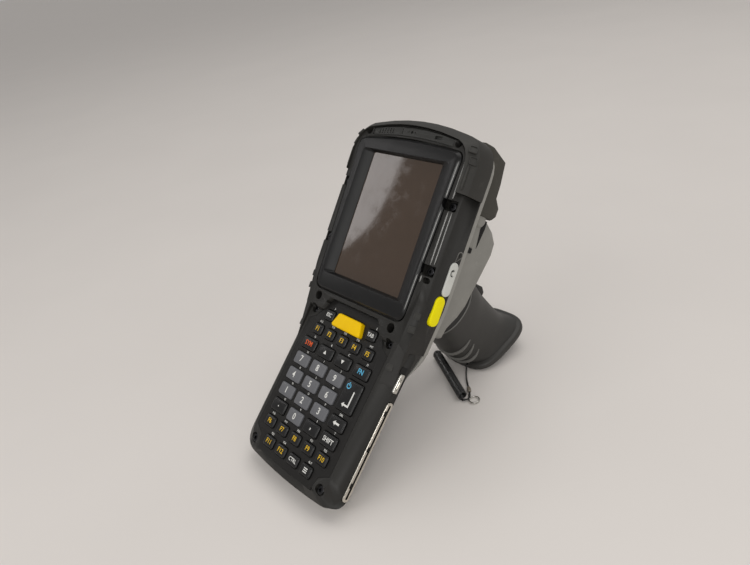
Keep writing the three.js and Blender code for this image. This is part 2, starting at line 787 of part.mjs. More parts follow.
// A side profile, given as [y, z] pairs, run across the body with chamfered ends.
function acrossBody(profile, halfWidth, bevel) {
  const shape = new THREE.Shape(profile.map(([y, z]) => new THREE.Vector2(y, z)));
  const geometry = new THREE.ExtrudeGeometry(shape, {
    depth: 2 * (halfWidth - bevel),
    bevelEnabled: true,
    bevelThickness: bevel,
    bevelSize: bevel,
    bevelOffset: -bevel,
    bevelSegments: 2,
  });
  geometry.translate(0, 0, -(halfWidth - bevel));
  const turn = new THREE.Matrix4().makeBasis(
    new THREE.Vector3(0, 1, 0),
    new THREE.Vector3(0, 0, 1),
    new THREE.Vector3(1, 0, 0),
  );
  geometry.applyMatrix4(turn);
  return solid(geometry);
}

const podFront = rearPlane - seatGap;

function atLens(shape) {
  return shape
    .rotate([-90 - THREE.MathUtils.radToDeg(lensLean), 0, 0])
    .translate([0, lensMiddle.y, lensMiddle.z]);
}

const podBlock = acrossBody(
  [
    [podTop, podFront],
    [podTop, -38],
    [podTop - 4.6, -52],
    [podTop - 18, -54.5],
    [podTop - 26, -55],
    [podTop - 31, podBack],
    [podBottom + 3, podBack],
    [podBottom, podBack + 3],
    [podBottom, podFront],
  ],
  podHalfWidth,
  podBevel,
);

function lensShape(margin) {
  return roundedBox(lensWidth / 2 + margin, -lensHeight / 2 - margin, lensHeight / 2 + margin, 2);
}

function engineBox(margin, top) {
  const halfX = engineHalf.x + margin;
  const halfY = engineHalf.y + margin;
  return atLens(box(-halfX, halfX, -halfY, halfY, -engineDepth - margin, top));
}

const lensSeat = atLens(slab(lensShape(seatGap), -lensThickness - seatGap, through * 4));
piece("scanner_pod", cut(podBlock, lensSeat, engineBox(seatGap, 0)), rubber, body);
piece("scanner_window", atLens(slab(lensShape(0), -lensThickness, 0, 3)), lensRed, body);
piece("scan_engine", engineBox(0, -lensThickness - seatGap), panelGrey, body);

// ---- Grip ---------------------------------------------------------------------------------

const gripTopFront = { y: -1, z: -63 }; // the collar's edge, palm side
const gripTopRear = { y: 41, z: -76 }; // and trigger side
const footNormal = new THREE.Vector2(-Math.sin(footRake), Math.cos(footRake));

// A cross-section of the foot: its distance above the underside and how far it is drawn in.
function footSection(above, drawnIn) {
  return {
    y: footMiddle.y + footNormal.x * above,
    z: footMiddle.z + footNormal.y * above,
    halfX: footHalfWidth - drawnIn,
    halfY: footHalfLength - drawnIn,
    slope: footRake,
    power: footSquareness,
  };
}

// Cross-sections down the grip: middle, half sizes, slope of the section's plane, and the power
// of its outline (2 is an ellipse, more is squarer).
const collar = {
  y: (gripTopFront.y + gripTopRear.y) / 2,
  z: (gripTopFront.z + gripTopRear.z) / 2,
  halfX: 20.8,
  halfY: 22.2,
  slope: Math.atan2(gripTopRear.z - gripTopFront.z, gripTopRear.y - gripTopFront.y),
  power: 2.2,
};
const gripSections = [
  collar,
  { y: 15.5, z: -85, halfX: 19.5, halfY: 23.6, slope: -0.2, power: 2.1 },
  { y: 10.5, z: -98, halfX: 18, halfY: 23.2, slope: -0.17, power: 2.1 },
  { y: 6, z: -111, halfX: 17.5, halfY: 22.6, slope: -0.35, power: 2.2 },
  { y: 3.6, z: -120, halfX: 17.8, halfY: 23, slope: -0.55, power: 2.4 },
  footSection(footThickness, 3),
  footSection(footThickness - 1.5, 0),
  footSection(0, 0),
];

function sectionPoint({ y, z, halfX, halfY, slope, power }, turn) {
  const round = (value) => Math.sign(value) * Math.abs(value) ** (2 / power);
  const along = halfY * round(Math.sin(turn));
  return new THREE.Vector3(
    halfX * round(Math.cos(turn)),
    y + Math.cos(slope) * along,
    z + Math.sin(slope) * along,
  );
}

// A cylinder whose rings are moved onto the given cross-sections, top ring first.
function loft(sections, sides = 28) {
  const rows = sections.length - 1;
  const geometry = new THREE.CylinderGeometry(1, 1, rows, sides, rows);
  const position = geometry.getAttribute("position");
  for (let i = 0; i < position.count; i += 1) {
    const row = Math.round(rows / 2 - position.getY(i));
    const x = position.getX(i);
    const y = position.getZ(i);
    const middle = new THREE.Vector3(0, sections[row].y, sections[row].z);
    const onRing = Math.hypot(x, y) > 0.5;
    const place = onRing ? sectionPoint(sections[row], -Math.atan2(y, x)) : middle;
    position.setXYZ(i, place.x, place.y, place.z);
  }
  return solid(geometry);
}

// The collar's section drawn in and moved down into the grip, for the cup and the neck in it.
function insideCollar(halfX, drawnIn, drop) {
  return { ...collar, z: collar.z - drop, halfX, halfY: collar.halfY - drawnIn };
}

const cupHalf = neckHalfWidth + collarGap;
const collarCup = loft([insideCollar(cupHalf, cupInset, -2), insideCollar(cupHalf, cupInset, collarDepth)]);
const triggerRoom = box(
  -triggerHalfWidth - triggerSlack,
  triggerHalfWidth + triggerSlack,
  triggerInner - triggerTravel - triggerSlack,
  triggerFace + 20,
  triggerBottom - triggerSlack,
  triggerTop + triggerSlack,
);
piece("grip_handle", cut(loft(gripSections), collarCup, triggerRoom), gripBlack, body);

const triggerBlade = acrossBody(
  [
    [triggerInner, triggerTop],
    [triggerFace, triggerTop],
    [triggerFace - 3, triggerTop - 8],
    [triggerFace - 3.6, triggerBottom + 3],
    [triggerFace - 6.5, triggerBottom],
    [triggerInner, triggerBottom],
  ],
  triggerHalfWidth,
  1,
);
piece("grip_trigger", triggerBlade, rubber, body);

const neck = loft([
  insideCollar(neckHalfWidth, cupInset + collarGap, -8),
  insideCollar(neckHalfWidth, cupInset + collarGap, collarDepth - seatGap),
]);
const bracketFront = rearPlane - seatGap;
const bracketBlock = acrossBody(
  [
    [podBottom - seatGap, bracketFront],
    [podBottom - seatGap, -58],
    [71, -67],
    [65, -73],
    [57, -73.6],
    [41, -70.2],
    [22, -66],
    [14, -62],
    [6, -56],
    [bracketBottom, -54],
    [bracketBottom, bracketFront],
  ],
  bracketHalfWidth,
  bracketBevel,
);
piece("grip_bracket", joined(bracketBlock, neck), rearGrey, body);

// ---- Standing the unit up -----------------------------------------------------------------

// The two edges that touch the surface: the deck's lower rear edge and the foot's near edge.
const endEdge = new THREE.Vector3(0, deckEndLowest, deckEndLow).applyMatrix4(deck.matrix);
const footEdge = new THREE.Vector3(
  0,
  footMiddle.y - footHalfLength * Math.cos(footRake),
  footMiddle.z - footHalfLength * Math.sin(footRake),
);
const standAngle = Math.atan2(endEdge.z - footEdge.z, footEdge.y - endEdge.y);
body.rotation.x = standAngle;
collector.updateMatrixWorld(true);
const standing = new THREE.Box3().setFromObject(body, true);
body.position.y = -(standing.min.y + standing.max.y) / 2;
body.position.z = -standing.min.z;
const footLine = footEdge.clone().applyAxisAngle(new THREE.Vector3(1, 0, 0), standAngle).add(body.position);
tether.position.y = footLine.y;

// ---- Tether -------------------------------------------------------------------------------

function cordAlong(points, radius, sides, steps) {
  const section = new THREE.Shape();
  for (let i = 0; i < sides; i += 1) {
    const turn = (2 * Math.PI * i) / sides;
    const x = radius * Math.cos(turn);
    const y = radius * Math.sin(turn);
    if (i === 0) section.moveTo(x, y);
    else section.lineTo(x, y);
  }
  const path = new THREE.CatmullRomCurve3(points.map(([x, y, z]) => new THREE.Vector3(x, y, z)));
  return solid(new THREE.ExtrudeGeometry(section, { extrudePath: path, steps, bevelEnabled: false }));
}

const coilHeight = coilRadius + 0.2;
const coilPoints = [
  [-19.5, -3.2, coilHeight],
  [-4, -11.5, coilHeight],
  [12, -19.6, coilHeight],
  [27.5, -27.6, coilHeight],
];
piece("tether_coil", cordAlong(coilPoints, coilRadius, 12, 8), cordBlack, tether);
const cordPoints = [
  [9.2, -2.05, 7.3],
  [11, -5, 6.9],
  [13, -8.2, 4],
  [15.6, -11, 1.6],
  [18.6, -13.6, 0.9],
  [21.6, -16, 0.8],
];
piece("tether_cord", cordAlong(cordPoints, cordRadius, 8, 18), cordBlack, tether);

// The split ring, the crimp on the cord's end, the link between them and the coil's stub.
const ringTurn = new THREE.TorusGeometry(ringRadius, ringWire, 6, 20);
ringTurn.translate(33.6, -23.6, ringWire + 0.1);
const crimp = new THREE.CylinderGeometry(crimpRadius, crimpRadius, crimpLength, 10);
crimp.rotateZ(Math.PI / 2 - 0.7);
crimp.translate(24.2, -18.2, crimpRadius + 0.1);
const link = new THREE.BoxGeometry(5, 1.2, 1);
link.rotateZ(-0.6);
link.translate(28, -21, 0.9);
const stubPoints = [
  [28.17, -27.94, 2.6],
  [29.6, -28.1, 1.7],
  [31, -26.3, 0.9],
];
const stub = cordAlong(stubPoints, stubRadius, 8, 5);
piece("tether_ring", joined(solid(ringTurn), solid(crimp), solid(link), stub), silver, tether);

export default collector;
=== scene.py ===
# %% [markdown]
# # A rugged handheld data collector
# The fixed frame holds every size and joint. This script only gives each part its looks: rounded
# edges, printed keys, screws, a coiled tether and the finishes of the plastics and metals.

# %% Load the frame
import json
import math

import bmesh
import bpy
from mathutils import Matrix, Vector


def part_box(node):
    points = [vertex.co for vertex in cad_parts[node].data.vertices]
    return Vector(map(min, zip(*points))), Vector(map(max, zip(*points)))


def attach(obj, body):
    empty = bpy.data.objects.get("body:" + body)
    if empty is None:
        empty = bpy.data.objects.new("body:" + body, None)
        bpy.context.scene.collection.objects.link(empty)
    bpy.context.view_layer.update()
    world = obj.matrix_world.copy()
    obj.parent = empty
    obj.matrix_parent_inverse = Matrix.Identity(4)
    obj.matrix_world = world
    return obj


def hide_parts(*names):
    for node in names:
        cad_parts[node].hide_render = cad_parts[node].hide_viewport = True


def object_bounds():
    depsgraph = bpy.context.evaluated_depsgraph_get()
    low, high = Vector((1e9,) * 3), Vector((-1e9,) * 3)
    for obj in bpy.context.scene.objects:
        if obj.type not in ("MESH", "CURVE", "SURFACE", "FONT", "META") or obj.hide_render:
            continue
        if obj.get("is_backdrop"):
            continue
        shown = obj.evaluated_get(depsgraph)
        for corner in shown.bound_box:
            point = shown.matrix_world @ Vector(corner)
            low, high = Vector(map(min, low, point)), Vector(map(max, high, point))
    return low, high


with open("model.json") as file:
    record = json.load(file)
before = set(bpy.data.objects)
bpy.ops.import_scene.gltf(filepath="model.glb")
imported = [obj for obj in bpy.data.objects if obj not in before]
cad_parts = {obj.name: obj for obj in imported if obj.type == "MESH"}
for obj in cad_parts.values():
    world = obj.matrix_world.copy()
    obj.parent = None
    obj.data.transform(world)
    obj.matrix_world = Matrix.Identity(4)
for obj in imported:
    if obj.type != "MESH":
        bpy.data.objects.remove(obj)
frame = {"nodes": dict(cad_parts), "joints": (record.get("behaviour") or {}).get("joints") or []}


def linked(name, data):
    """A new object in the scene."""
    made = bpy.data.objects.new(name, data)
    bpy.context.scene.collection.objects.link(made)
    return made


def facing_frame(across, up, out):
    """A turn that lays X, Y and Z along three directions."""
    return Matrix((across, up, out)).transposed().to_4x4()


cad_low, cad_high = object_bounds()
print("frame:", len(frame["nodes"]), "nodes, box", tuple(cad_low), tuple(cad_high))

# %% [markdown]
# ## Working in the unit's own frame
# The real unit leans on its keypad end and on its grip, so nothing on it is level. Pieces are
# easier to draw in millimetres on the unit as it would lie on a bench: X across, Y towards the
# head, Z out of the screen. Both angles come from the directions in which the joints move.

# %% The two drawing frames
def joint_axis(name):
    return Vector(next(j["axis"] for j in frame["joints"] if j["name"] == name))


squeeze = joint_axis("trigger_squeeze")
press = joint_axis("key_5_press")
stand_angle = math.atan2(-squeeze.z, -squeeze.y)
deck_tilt = stand_angle - math.atan2(press.y, -press.z)
MM = 0.001
glass_low, glass_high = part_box("touch_glass")
GLASS_MIDDLE = Vector((0, 55.0, -4.2))
DECK_HEIGHT = -3.64
stand = Matrix.Rotation(stand_angle, 4, "X") @ Matrix.Scale(MM, 4)
UNIT = Matrix.Translation((glass_low + glass_high) / 2 - stand @ GLASS_MIDDLE) @ stand
DECK = UNIT @ Matrix.Translation((0, 0, DECK_HEIGHT)) @ Matrix.Rotation(-deck_tilt, 4, "X")
print("stands at", round(math.degrees(stand_angle), 2), "deck tips by", round(math.degrees(deck_tilt), 2))

# %% [markdown]
# ## Camera
# The camera comes first, because the tether is checked against what it sees. The camera looks
# down on the unit from its right-hand side, with a slightly wide lens.

# %% Camera
EYE = Vector((284.4, 40.6, 264.6))
LOOK_ALONG = Vector((-0.717, -0.053, -0.695))
LOOK_DOWN = Vector((0.26, -0.945, -0.196))
SENSOR_WIDTH = 36
FOCAL_LENGTH = 32.54
turn = UNIT.to_3x3().normalized()
forward = (turn @ LOOK_ALONG).normalized()
down = turn @ LOOK_DOWN
down = (down - forward * down.dot(forward)).normalized()
right = down.cross(forward)
camera_data = bpy.data.cameras.new("camera")
camera_data.sensor_width = SENSOR_WIDTH
camera_data.lens = FOCAL_LENGTH
camera_data.clip_start = 0.01
camera = linked("camera", camera_data)
camera.matrix_world = Matrix.Translation(UNIT @ EYE) @ facing_frame(right, -down, -forward)
bpy.context.scene.camera = camera
print("camera at", tuple(round(v, 3) for v in camera.location))

# %% [markdown]
# ## Shader maths as expressions
# A node tree reads badly when each sum is three lines of links. This class wraps an output
# socket, so that `0.5 + 0.2 * grain` adds the Math nodes that it needs.

# %% A socket that does sums
class Wire:
    def __init__(self, finish, output):
        self.finish = finish
        self.output = output

    def __add__(self, other):
        return self.finish.maths("ADD", self, other)

    def __sub__(self, other):
        return self.finish.maths("SUBTRACT", self, other)

    def __rsub__(self, other):
        return self.finish.maths("SUBTRACT", other, self)

    def __mul__(self, other):
        return self.finish.maths("MULTIPLY", self, other)

    __radd__ = __add__
    __rmul__ = __mul__


class Finish:
    """A material, its Principled shader and short ways to add nodes to it."""

    def __init__(self, name, sockets=None):
        self.material = bpy.data.materials.new(name)
        self.material.use_nodes = True
        self.tree = self.material.node_tree
        self.shader = self.tree.nodes["Principled BSDF"]
        for socket, value in (sockets or {}).items():
            self.set(socket, value)

    def set(self, socket, value):
        self.feed(self.shader.inputs[socket], value)

    def feed(self, socket, value):
        if isinstance(value, Wire):
            self.tree.links.new(value.output, socket)
        elif isinstance(value, tuple) and len(value) == 3 and socket.type == "RGBA":
            socket.default_value = (*value, 1)
        else:
            socket.default_value = value

    def node(self, kind, settings, sockets, output=0):
        made = self.tree.nodes.new(kind)
        for name, value in settings.items():
            setattr(made, name, value)
        for name, value in sockets.items():
            self.feed(made.inputs[name], value)
        return Wire(self, made.outputs[output])

    def maths(self, operation, first, second):
        return self.node("ShaderNodeMath", {"operation": operation}, {0: first, 1: second})

    def places(self):
        return self.node("ShaderNodeTexCoord", {}, {}, "Object")

    def noise(self, size, detail=3, roughness=0.5):
        """Noise whose blobs are about size millimetres across."""
        sockets = {
            "Vector": self.places(),
            "Scale": 1 / (size * MM),
            "Detail": detail,
            "Roughness": roughness,
        }
        return self.node("ShaderNodeTexNoise", {}, sockets, "Fac")

    def between(self, value, low, high):
        """0 below low, 1 above high and a smooth rise between."""
        sockets = {"Value": value, "From Min": low, "From Max": high}
        return self.node("ShaderNodeMapRange", {"interpolation_type": "SMOOTHSTEP"}, sockets)

    def blend(self, factor, first, second):
        """A mix of two colours. The Mix node repeats its sockets' names, so they go by number."""
        sockets = {0: factor, 6: first, 7: second}
        return self.node("ShaderNodeMix", {"data_type": "RGBA"}, sockets, 2)

    def bump(self, height, depth):
        """Relief of depth millimetres."""
        sockets = {"Height": height, "Distance": depth * MM, "Strength": 1.0}
        self.set("Normal", self.node("ShaderNodeBump", {}, sockets))


def tone(*levels):
    """An sRGB colour of 0 to 255 as the linear colour that shaders use."""
    return tuple(((c / 255 + 0.055) / 1.055) ** 2.4 if c > 10 else c / 3294.6 for c in levels)


def scaled(colour, factor):
    return tuple(min(1.0, c * factor) for c in colour)


print("shader helpers ready")

# %% [markdown]
# ## Finishes
# Moulded housings are spark-eroded: a fine grain of about a third of a millimetre that scatters
# light. Use leaves them uneven, with paler rubbed patches. One function makes them all, and each
# part differs in colour, gloss and coarseness.

# %% Moulded plastic and rubber
PATCH_SIZE = 14
SCUFF_SIZE = 5


def moulded(name, colour, roughness, grain=0.35, depth=0.02, wear=0.35, specular=0.4):
    """Plastic or rubber. Grain and depth are in millimetres, and wear is from 0 to 1."""
    finish = Finish(name, {"Specular IOR Level": specular})
    fine = finish.noise(grain, 2, 0.6)
    patches = finish.noise(PATCH_SIZE, 4, 0.6)
    rubbed = finish.between(finish.noise(SCUFF_SIZE, 6, 0.7), 0.56, 0.72) * wear
    uneven = finish.blend(patches, scaled(colour, 0.86), scaled(colour, 1.16))
    finish.set("Base Color", finish.blend(rubbed, uneven, scaled(colour, 1.8)))
    finish.set("Roughness", roughness + 0.12 * (patches - 0.5) + 0.08 * (fine - 0.5))
    finish.bump(fine + 0.6 * finish.noise(grain * 3, 2), depth)
    return finish.material


casing_finish = moulded("charcoal_housing", tone(36, 35, 33), 0.5, specular=0.35)
strip_finish = moulded("speaker_strip", tone(44, 44, 42), 0.5, grain=0.25)
bumper_finish = moulded("bumper_rubber", tone(46, 45, 42), 0.6, grain=0.5, wear=0.5)
pod_finish = moulded("pod_rubber", tone(62, 60, 54), 0.64, grain=0.6, depth=0.03, wear=0.6)
trigger_finish = moulded("trigger_rubber", tone(36, 36, 35), 0.55, wear=0.2)
battery_finish = moulded("battery_case", tone(44, 44, 44), 0.55, wear=0.2)
cover_finish = moulded("cover_rubber", tone(206, 207, 202), 0.55, grain=0.4, depth=0.03, wear=0.1)
# Painted highlight: a pale grey for the grip's ribs and rim and the teardrop's edge, in place of the light
# on their raised edges.
ridge_highlight_finish = moulded("painted_ridge_highlight", tone(112, 111, 108), 0.5, grain=0.4, wear=0.5)
# A near-black for the keypad mat and the teardrop's mark, also used as painted shade: dark plates in gaps
# and hollows where only shadow is seen.
black_and_shade_finish = moulded("black_and_painted_shade", tone(9, 9, 9), 0.7, wear=0.0)

FINE = {"grain": 0.3, "depth": 0.012}
rear_finish = moulded("grey_rear", tone(146, 145, 140), 0.5, **FINE, wear=0.15)
# Painted shade: the bracket's grey is the rear grey drawn darker, for the shade that falls on the lower
# back.
bracket_shaded_finish = moulded("grey_bracket_painted_shade", tone(138, 137, 132), 0.5, **FINE, wear=0.15)
grip_finish = moulded("grip_rubber", tone(54, 53, 51), 0.5, **FINE, wear=0.2)
plate_finish = moulded("keypad_plate", tone(29, 28, 27), 0.5, grain=0.25, depth=0.012, specular=0.25)

bezel_finish = moulded(
    "satin_bezel", tone(12, 12, 13), 0.34, grain=0.3, depth=0.005, wear=0.12, specular=0.32)
# Painted highlight: a pale, glossy grey for the thin tubes that stand for light caught on the display's
# rims.
highlight_edge_finish = moulded(
    "painted_edge_highlight", tone(132, 132, 130), 0.24, grain=0.3, depth=0.004, wear=0.3, specular=0.7)

KEY_GRAIN = {"grain": 0.25, "depth": 0.006}
NEW_YELLOW = {"wear": 0.0, "specular": 0.15}
key_black_finish = moulded("key_black", tone(14, 14, 15), 0.34, **KEY_GRAIN, wear=0.1)
key_grey_finish = moulded("key_grey", tone(100, 101, 105), 0.45, **KEY_GRAIN, wear=0.1)
key_yellow_finish = moulded("key_yellow", tone(255, 200, 0), 0.45, **KEY_GRAIN, **NEW_YELLOW)
button_finish = moulded("button_yellow", tone(255, 232, 0), 0.45, grain=0.3, depth=0.008, **NEW_YELLOW)
print("moulded finishes:", len(bpy.data.materials))

# %% [markdown]
# The screen is a touch panel that is switched off: a near-black brown under hard gloss, with
# finger smears that only show in the reflection. The metals are smooth, so all that they need is
# a faint unevenness in tone and polish, which keeps their mirror image from being perfect.

# %% Screen, metals and cord
def glossy(name, colour, roughness, smears=0.05, sockets=None):
    finish = Finish(name, sockets)
    uneven = finish.noise(6, 3)
    finish.set("Base Color", finish.blend(uneven, scaled(colour, 0.92), scaled(colour, 1.08)))
    smeared = finish.between(finish.noise(9, 5, 0.65), 0.45, 0.75)
    finish.set("Roughness", roughness + smears * smeared)
    return finish.material


GLASS_SHINE = {"Specular IOR Level": 0.55}
screen_finish = glossy("screen_glass", tone(66, 52, 41), 0.05, smears=0.1, sockets=GLASS_SHINE)
lens_finish = glossy("scanner_lens", tone(52, 8, 12), 0.06, sockets={"Coat Weight": 0.6})
board_finish = glossy("board_lacquer", tone(26, 88, 52), 0.4, smears=0.2)


def metal(name, colour, roughness):
    finish = Finish(name, {"Metallic": 1.0})
    uneven = finish.noise(1.6, 3, 0.6)
    finish.set("Base Color", finish.blend(uneven, scaled(colour, 0.92), scaled(colour, 1.05)))
    finish.set("Roughness", roughness + 0.1 * uneven)
    finish.bump(uneven, 0.0012)
    return finish.material


rail_finish = metal("rail_steel", tone(205, 200, 190), 0.2)
plated_finish = metal("plated_ring", tone(198, 196, 190), 0.12)
screw_finish = metal("black_screw", tone(58, 58, 60), 0.25)
panel_finish = metal("panel_alloy", tone(150, 152, 155), 0.35)
cord_finish = moulded(
    "cord_sheath", tone(14, 14, 14), 0.22, grain=0.5, depth=0.004, wear=0.0, specular=0.7)
crimp_finish = glossy("crimp_sleeve", tone(120, 112, 100), 0.25, smears=0.15)
INKS = {
    "white": tone(226, 226, 222),
    "gold": tone(226, 184, 30),
    "orange": tone(226, 92, 36),
    "blue": tone(92, 186, 226),
}
ink_finishes = {ink: moulded("ink_" + ink, colour, 0.55, wear=0.0) for ink, colour in INKS.items()}
print("finishes in all:", len(bpy.data.materials))

# %% [markdown]
# ## Mesh helpers
# Most pieces are a stack of outlines: the same ring of points at several heights, each drawn in
# a little more where an edge is rounded. Everything else is one of these cut by another.

# %% Outlines
def rounded_rectangle(half_x, half_y, radius, steps=6, x=0.0, y=0.0):
    corners = ((1, -1, -90), (1, 1, 0), (-1, 1, 90), (-1, -1, 180))
    points = []
    for side_x, side_y, start in corners:
        for step in range(steps + 1):
            angle = math.radians(start + 90 * step / steps)
            across = side_x * (half_x - radius) + radius * math.cos(angle)
            along = side_y * (half_y - radius) + radius * math.sin(angle)
            points.append(Vector((x + across, y + along)))
    return points


def drawn_in(outline, distance):
    """The outline moved in by a distance, each point along its own corner's bisector."""
    count = len(outline)
    moved = []
    for i, point in enumerate(outline):
        before = (point - outline[i - 1]).normalized()
        after = (outline[(i + 1) % count] - point).normalized()
        if before.length < 0.5:
            before = after
        if after.length < 0.5:
            after = before
        along = (before + after).normalized()
        normal = Vector((-along.y, along.x))
        moved.append(point + normal * distance / max(0.5, normal.dot(Vector((-after.y, after.x)))))
    return moved


def arc(x, y, half_x, half_y, start, stop, steps=16):
    """Points along an ellipse, from one angle to another in degrees."""
    angles = [math.radians(start + (stop - start) * i / steps) for i in range(steps + 1)]
    return [Vector((x + half_x * math.cos(a), y + half_y * math.sin(a))) for a in angles]


def disc(x, y, radius, sides=24):
    turns = [2 * math.pi * i / sides for i in range(sides)]
    return [Vector((x + radius * math.cos(a), y + radius * math.sin(a))) for a in turns]


print("outline helpers ready")

# %% [markdown]
# A mould is filled between walls that lean and round off, so a solid here is rows of points, each
# joined to the next. Merging points that fall on each other closes the ends of thin shapes. A
# row order that runs the wrong way would turn the faces inwards, so the volume's sign is read
# and the faces are turned if it is negative.

# %% Solids from outlines
def stacked(levels):
    """A closed solid through (outline, height) levels whose outlines have the same number of points."""
    return lofted([[(p.x, p.y, z) for p in outline] for outline, z in levels])


def lofted(rows):
    """A closed solid through rows of points."""
    shape = bmesh.new()
    join_rows(shape, [[shape.verts.new(p) for p in row] for row in rows])
    return shape


def join_rows(shape, rows, capped=True):
    count = len(rows[0])
    for low, high in zip(rows, rows[1:]):
        for i in range(count):
            after = (i + 1) % count
            shape.faces.new((low[i], low[after], high[after], high[i]))
    if capped:
        shape.faces.new(rows[0][::-1])
        shape.faces.new(rows[-1])
    bmesh.ops.remove_doubles(shape, verts=shape.verts, dist=1e-4)
    shape.normal_update()
    if shape.calc_volume(signed=True) < 0:
        bmesh.ops.reverse_faces(shape, faces=shape.faces)


def pillow(outline, low, high, rounding, steps=4):
    """A slab with a quarter-round upper edge."""
    levels = [(outline, low), (outline, high - rounding)]
    for step in range(1, steps + 1):
        angle = math.pi / 2 * step / steps
        inward = rounding * (1 - math.cos(angle))
        levels.append((drawn_in(outline, inward), high - rounding + rounding * math.sin(angle)))
    return stacked(levels)


def slab(outline, low, high):
    return stacked([(outline, low), (outline, high)])


def as_mesh(shape, name="scratch"):
    """A bmesh as mesh data. The bmesh is used up."""
    mesh = bpy.data.meshes.new(name)
    shape.to_mesh(mesh)
    shape.free()
    return mesh


def piece(name, shape, finishes, body="unit", slot=None, stands_for=(), place=UNIT, sharp=38):
    """Makes a bmesh drawn in millimetres a piece of the object, riding on its body."""
    mesh = as_mesh(shape, name)
    mesh.transform(place)
    for finish in finishes if isinstance(finishes, list) else [finishes]:
        mesh.materials.append(finish)
    mesh.shade_smooth()
    mesh.set_sharp_from_angle(angle=math.radians(sharp))
    made = linked(name, mesh)
    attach(made, body)
    if stands_for:
        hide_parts(*stands_for)
    return made


print("solid helpers ready")

# %% [markdown]
# Holes are cut and edges are rounded with modifiers, as a modeller would in the window. A bmesh
# has no modifiers, so it is put on a scratch object, and the result is read back from that.

# %% Modifiers on a solid
def scratch(shape):
    """A bmesh as an object for modifiers to work on."""
    return linked("scratch", as_mesh(shape))


def modified(shape, *modifiers):
    """A bmesh put through modifiers, each given as a type and its settings."""
    holder = scratch(shape)
    for kind, settings in modifiers:
        modifier = holder.modifiers.new(kind.lower(), kind)
        for setting, value in settings.items():
            setattr(modifier, setting, value)
    result = bmesh.new()
    result.from_object(holder, bpy.context.evaluated_depsgraph_get())
    bpy.data.objects.remove(holder)
    return result


def cut(shape, *tools):
    """Cuts bmesh tools out of a bmesh, with Blender's exact boolean."""
    cutters = [scratch(tool) for tool in tools]
    settings = {"operation": "DIFFERENCE", "solver": "EXACT"}
    cuts = [("BOOLEAN", {**settings, "object": cutter}) for cutter in cutters]
    result = modified(shape, *cuts)
    for cutter in cutters:
        bpy.data.objects.remove(cutter)
    return result


def softened(shape, width, segments=2, angle=28):
    """Rounds every edge that is sharper than an angle."""
    settings = {"width": width, "segments": segments, "use_clamp_overlap": True}
    limit = {"limit_method": "ANGLE", "angle_limit": math.radians(angle)}
    return modified(shape, ("BEVEL", {**settings, **limit}))


def together(*shapes):
    """Several bmeshes in one."""
    whole = bmesh.new()
    for shape in shapes:
        mesh = as_mesh(shape)
        whole.from_mesh(mesh)
        bpy.data.meshes.remove(mesh)
    return whole


def moved(shape, matrix):
    bmesh.ops.transform(shape, matrix=matrix, verts=shape.verts)
    return shape


print("modifier helpers ready")

# %% [markdown]
# ## The tether
# A thin cord leaves the grip's side, passes a crimp and a split ring, turns back and becomes a
# tight coil that lies on the table. It is one curve: the lead's points are listed, and
# a loop winds the coil round its centreline.

# %% Route of the tether
FOOT_MIDDLE = (2.0, -131.5)
FOOT_RAKE = math.radians(-36.9)
FOOT_HALF_LENGTH = 26.8
foot_edge = UNIT @ Vector((
    0,
    FOOT_MIDDLE[0] - FOOT_HALF_LENGTH * math.cos(FOOT_RAKE),
    FOOT_MIDDLE[1] - FOOT_HALF_LENGTH * math.sin(FOOT_RAKE),
))
TABLE = Matrix.Translation((0, foot_edge.y, 0)) @ Matrix.Scale(MM, 4)
CORD_RADIUS = 0.6
COIL_RADIUS = 3.25 - CORD_RADIUS
COIL_TURNS = 39
STEPS_PER_TURN = 16
coil_start = Vector((27.2, -27.45, 3.5))
coil_end = Vector((-19.2, -3.36, 3.5))
lead = [
    (9.2, -2.05, 7.3), (10.0, -3.5, 7.35), (11.0, -5.0, 6.9), (12.0, -6.7, 5.6), (13.0, -8.2, 4.0),
    (14.2, -9.6, 2.6), (15.6, -11.0, 1.6), (17.1, -12.3, 1.1), (18.6, -13.6, 0.9), (20.1, -14.8, 0.8),
    (21.6, -16.0, 0.8), (23.2, -17.35, 1.2), (24.9, -18.8, 1.6), (26.4, -20.1, 1.3), (27.8, -21.4, 1.0),
    (29.0, -22.8, 0.9), (29.8, -24.3, 1.0), (30.1, -25.8, 1.2), (29.8, -27.1, 1.6), (29.0, -28.2, 1.4),
    (28.0, -28.6, 1.0),
]
axis = (coil_end - coil_start).normalized()
side = axis.cross(Vector((0, 0, 1))).normalized()
cord_line = [Vector(p) for p in lead]
first_turn = math.atan2(lead[-1][2] - coil_start.z, (cord_line[-1] - coil_start).dot(side))
for step in range(COIL_TURNS * STEPS_PER_TURN + 1):
    angle = first_turn - 2 * math.pi * step / STEPS_PER_TURN
    middle = coil_start.lerp(coil_end, step / (COIL_TURNS * STEPS_PER_TURN))
    around = side * math.cos(angle) + Vector((0, 0, math.sin(angle)))
    cord_line.append(middle + COIL_RADIUS * around)
cord_length = sum((b - a).length for a, b in zip(cord_line, cord_line[1:])) * MM
print("tether:", round(cord_length, 4), "m in", len(cord_line), "points")

# %% [markdown]
# The sheath is the curve's own bevel, so it is the same thickness everywhere. The split ring is a
# wire wound round twice, and the crimp and the link are short tubes of changing radius. They ride
# on the unit's body, like the cord.

# %% The tether and the pieces on it
curve = bpy.data.curves.new("tether", "CURVE")
curve.dimensions = "3D"
curve.bevel_depth = CORD_RADIUS * MM
curve.bevel_resolution = 3
curve.use_fill_caps = True
spline = curve.splines.new("POLY")
spline.points.add(len(cord_line) - 1)
for point, place in zip(spline.points, cord_line):
    point.co = (*(TABLE @ place), 1)
spline.use_smooth = True
curve.materials.append(cord_finish)
tether = linked("tether", curve)
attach(tether, "unit")
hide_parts("tether_cord", "tether_coil")


